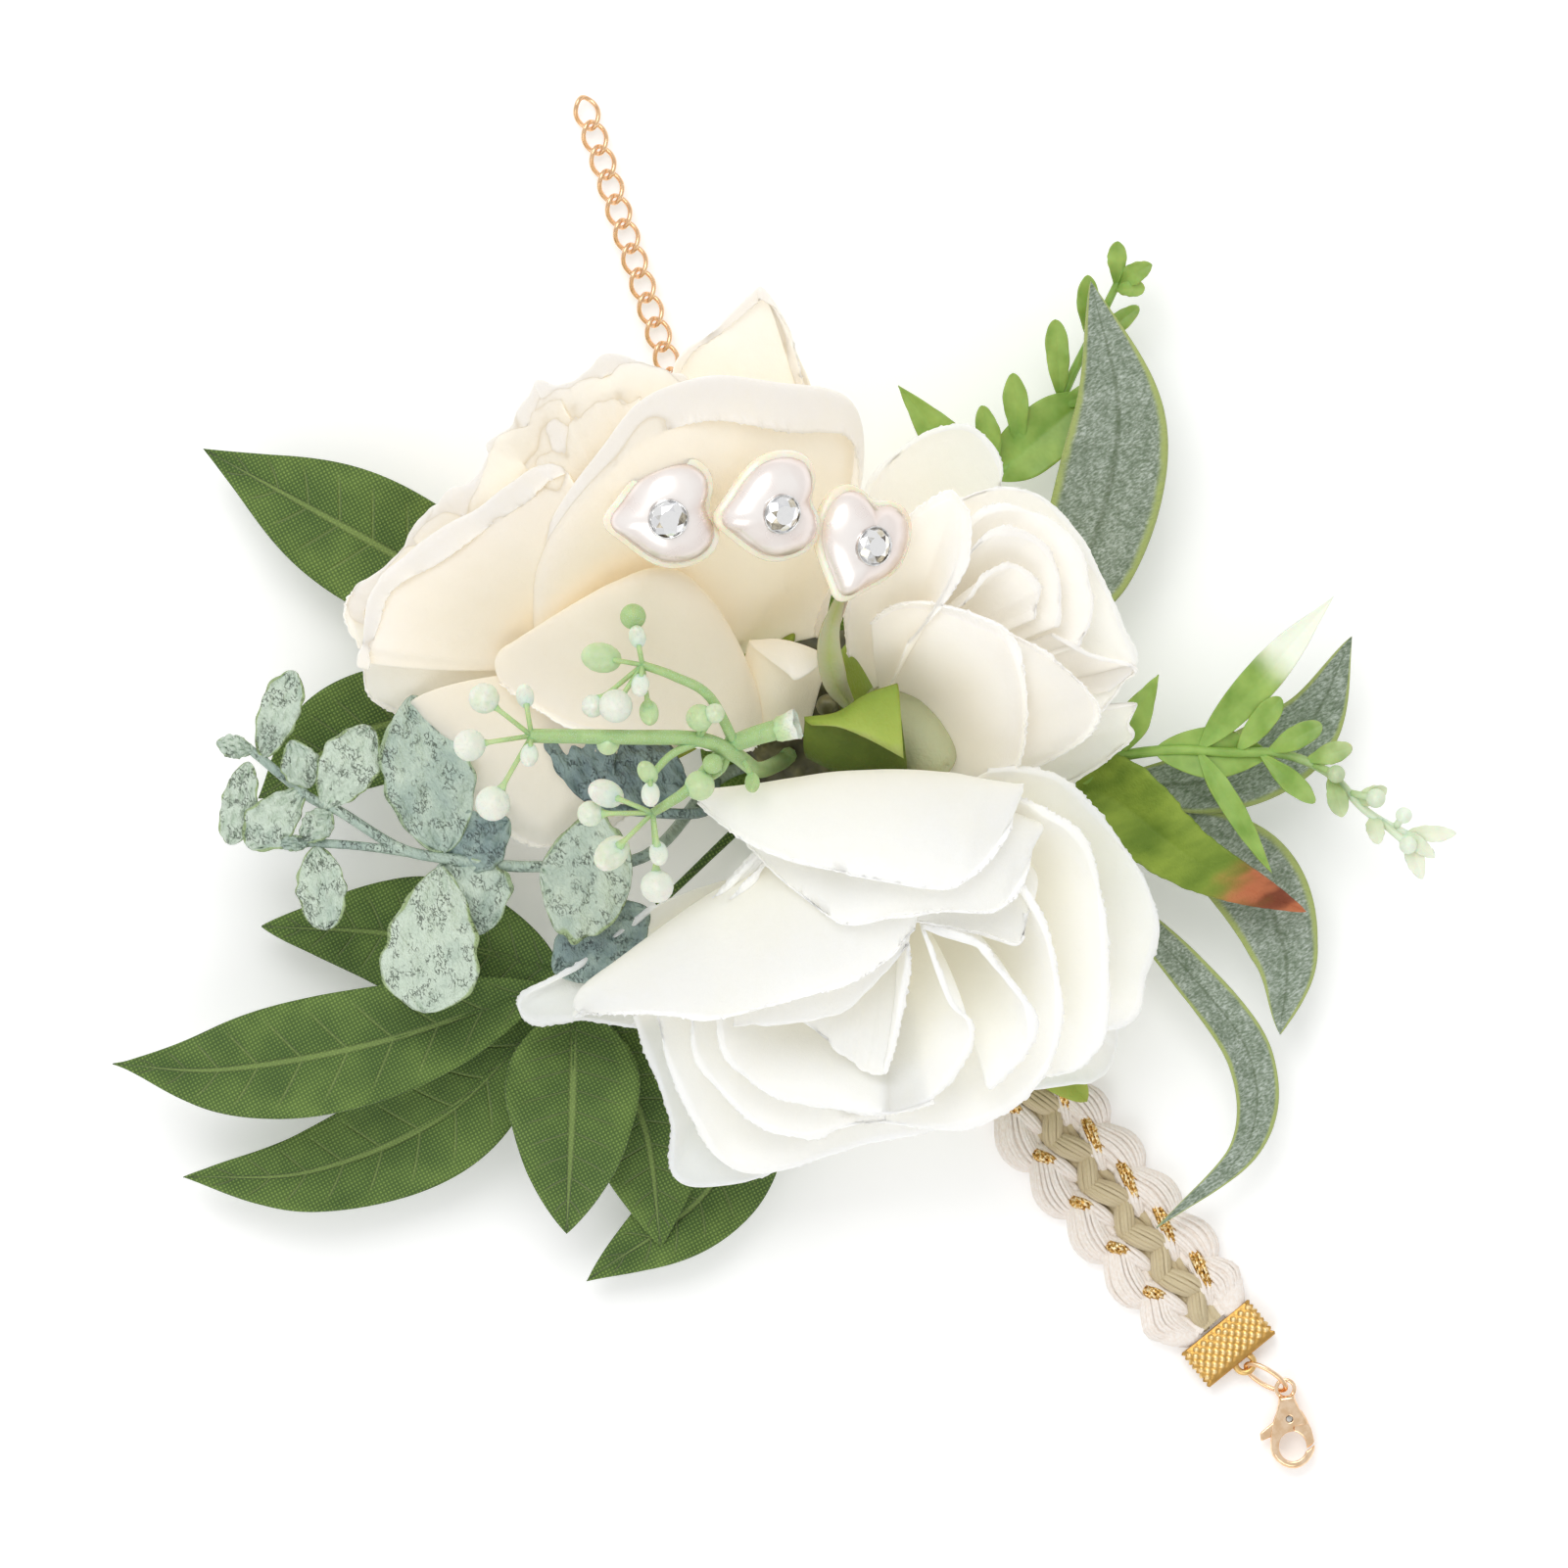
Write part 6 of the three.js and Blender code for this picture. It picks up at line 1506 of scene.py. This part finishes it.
def heart_outline():
    """A soft heart of the full width about its middle, its drawn-out point down"""
    t = np.linspace(0, 1, 28, endpoint=False)[:, None]
    half = []
    for a, (b, c, d) in ((HEART_POINT, HEART_FLANK), (HEART_FLANK[-1], HEART_LOBE)):
        a, b, c, d = (np.array(corner, float) for corner in (a, b, c, d))
        half.append((1 - t) ** 3 * a + 3 * t * (1 - t) ** 2 * b + 3 * t**2 * (1 - t) * c + t**3 * d)
    half = np.vstack([*half, HEART_LOBE[-1:]])
    whole = np.vstack([half, half[-2:0:-1] * (-1, 1)])
    rounded = sum(np.roll(whole, step, 0) for step in range(-4, 5)) / 9
    return rounded * HEART_WIDTH / 2


def cushion(rings):
    """Heart-shaped rings, each given by its size and its height"""
    outline = heart_outline()
    level = np.ones((len(outline), 1))
    return np.stack([np.hstack([outline * size, level * height]) for size, height in rings])


resin, start = material(
    "peach_resin", {"Subsurface Weight": 0.5, "Subsurface Scale": 2 * MM, "Coat Weight": 0.4}
)
swirl = grain(start, 5, 3)
peach = swirl.band(0.3, 0.7).blend(colour(250, 234, 206), colour(254, 245, 228))
wear(resin, Base_Color=peach, Roughness=0.15 + 0.15 * swirl)
pearl, start = material("pearl_paint", {"Metallic": 0.35, "Coat Weight": 0.8, "Coat Roughness": 0.05})
lustre = grain(start, 4, 3)
# The dome's colour follows how it faces the camera, a painted reflection: pale where it faces it, darker
# further out and bright again at the rim.
facing = start.node("LayerWeight", {}, {"Blend": 0.35}, 1)
pearl_with_painted_reflection = (0.75 * facing + 0.4 * lustre).steps(
    (0.2, colour(250, 244, 240)),
    (0.4, colour(240, 228, 222)),
    (0.6, colour(214, 192, 178)),
    (1, colour(250, 226, 198)),
)
wear(pearl, Base_Color=pearl_with_painted_reflection, Roughness=0.2 + 0.12 * lustre)
silver = bare_metal("silver_cup", colour(196, 194, 192), colour(250, 250, 250), roughness=0.12)
stone, start = material("cut_stone", {"Metallic": 0.85})
tone = tone_of(start)
foil = grain(start, 0.6, 1)
# The facets' colours are painted reflections: a facet's tone, with a little foil noise, makes it dark, grey
# or white.
painted_facet_reflections = (tone + 0.3 * foil).steps(
    (0.2, colour(84, 78, 76)),
    (0.4, colour(196, 188, 168)),
    (0.6, colour(240, 241, 244)),
    (1, colour(255, 255, 255)),
)
wear(stone, Base_Color=painted_facet_reflections, Roughness=0.04 + 0.1 * foil)
base_rings = [(0.02, -HEART_BASE), (1.0, -HEART_BASE), (1.12, -2.0), (1.15, -1.4), (1.12, -0.8)]
base_rings += [(0.98, -0.5), (0.02, -0.5)]
swell = np.linspace(0, np.pi / 2, 18)
dome_rings = [(1.02 * math.sin(a) ** 0.9 + 0.01, 3.9 * math.cos(a) - 1.1) for a in swell]
cup_profile = [(0.1, 2.3), (STONE_RADIUS, 2.3), (2.85, 2.5), (2.8, 3.0), (2.6, 3.05), (2.52, 2.7)]
draw = np.random.default_rng(4)
for k, pose in enumerate(HEARTS):
    name = f"pearl_heart_{k + 1}"
    piece(f"{name}_base", [(leaning(cushion(base_rings), *pose), "ring", 0.5)], resin, slot="pearl")
    dome = [(leaning(cushion(dome_rings), *pose), "ring", 0.5)]
    if k == 2:
        place = np.array(pose[0], float)
        foot = np.array((-7, -1, DOME_TOP + FOOT_RISE))
        bend = foot + 0.3 * (place - foot) + (0, 0, HEART_WIDTH / 4)
        dome.append((tube(curve([place - (0, 0, 1), bend, foot], 40), HEART_WIRE), "ring", 0.5))
    piece(f"{name}_dome", dome, pearl, stands_for=(name,), slot="pearl")
    cup = leaning(turned(cup_profile, sides=40), *pose)
    piece(f"{name}_cup", [(cup, "ring", 0.5)], silver, slot="crystal")
    facets = []
    for corner in range(FACETS):
        angles = np.array((corner - 0.5, corner, corner + 0.5, corner + 1)) * 2 * np.pi / FACETS
        around = np.stack([np.cos(angles), np.sin(angles), 0 * angles], 1)
        inner, middle, outer = (radius * around + (0, 0, height) for radius, height in STONE_RINGS)
        top = np.array((0, 0, STONE_RINGS[0][1]))
        for a, b, c, d in (
            (top, inner[1], inner[2], inner[3]),
            (inner[1], middle[2], inner[3], inner[3]),
            (middle[0], outer[1], middle[2], inner[1]),
            (outer[1], outer[3], middle[2], middle[2]),
        ):
            # A facet's tone picks its painted reflection; the table is painted light.
            shade = 0.85 if a is top else draw.uniform(0, 1)
            facets.append((leaning(np.array(((a, b), (d, c))), *pose), "", shade))
    node = f"rhinestone_{k + 1}"
    made = piece(f"{node}_cut", facets, stone, stands_for=(node,), slot="crystal")
    made.data.polygons.foreach_set("use_smooth", [False] * len(made.data.polygons))


# The corsage lies on a pale matt table top in soft studio light: a wide lamp at the upper left, a
# weaker one to the right, and a white room all around it.
FLOOR_WIDTH = 3000
FLOOR_DROP = 0.4
TABLE_GLOW = 0.15
ROOM_LIGHT = 0.72
LAMPS = (("window", (-500, 100, 900), 600, 3.4), ("fill", (500, -500, 700), 600, 1.6))

glow = {"Emission Color": (1, 1, 1, 1), "Emission Strength": TABLE_GLOW}
table_top, start = material("table_top", {"Roughness": 0.9, "Specular IOR Level": 0.1, **glow})
cloudy = grain(start, 40).band(0.2, 0.8)
wear(table_top, Base_Color=cloudy.blend(colour(253, 253, 253), colour(255, 255, 255)))
corners = np.array([[(-1, -1, 0), (1, -1, 0)], [(-1, 1, 0), (1, 1, 0)]]) * FLOOR_WIDTH / 2
floor = piece("table_top", [(corners + (0, 0, -FLOOR_DROP), "", 0.5)], table_top, ride=False)

world = bpy.context.scene.world or bpy.data.worlds.new("room")
bpy.context.scene.world = world
world.use_nodes = True
room = world.node_tree.nodes["Background"].inputs
room["Color"].default_value = (1, 1, 1, 1)
room["Strength"].default_value = ROOM_LIGHT
for name, place, size, power in LAMPS:
    lamp = bpy.data.objects.new(name, bpy.data.lights.new(name, "AREA"))
    lamp.data.size = size * MM
    lamp.data.energy = power
    lamp.location = Vector(place) * MM
    lamp.rotation_euler = Vector(place).to_track_quat("Z", "Y").to_euler()
    bpy.context.scene.collection.objects.link(lamp)
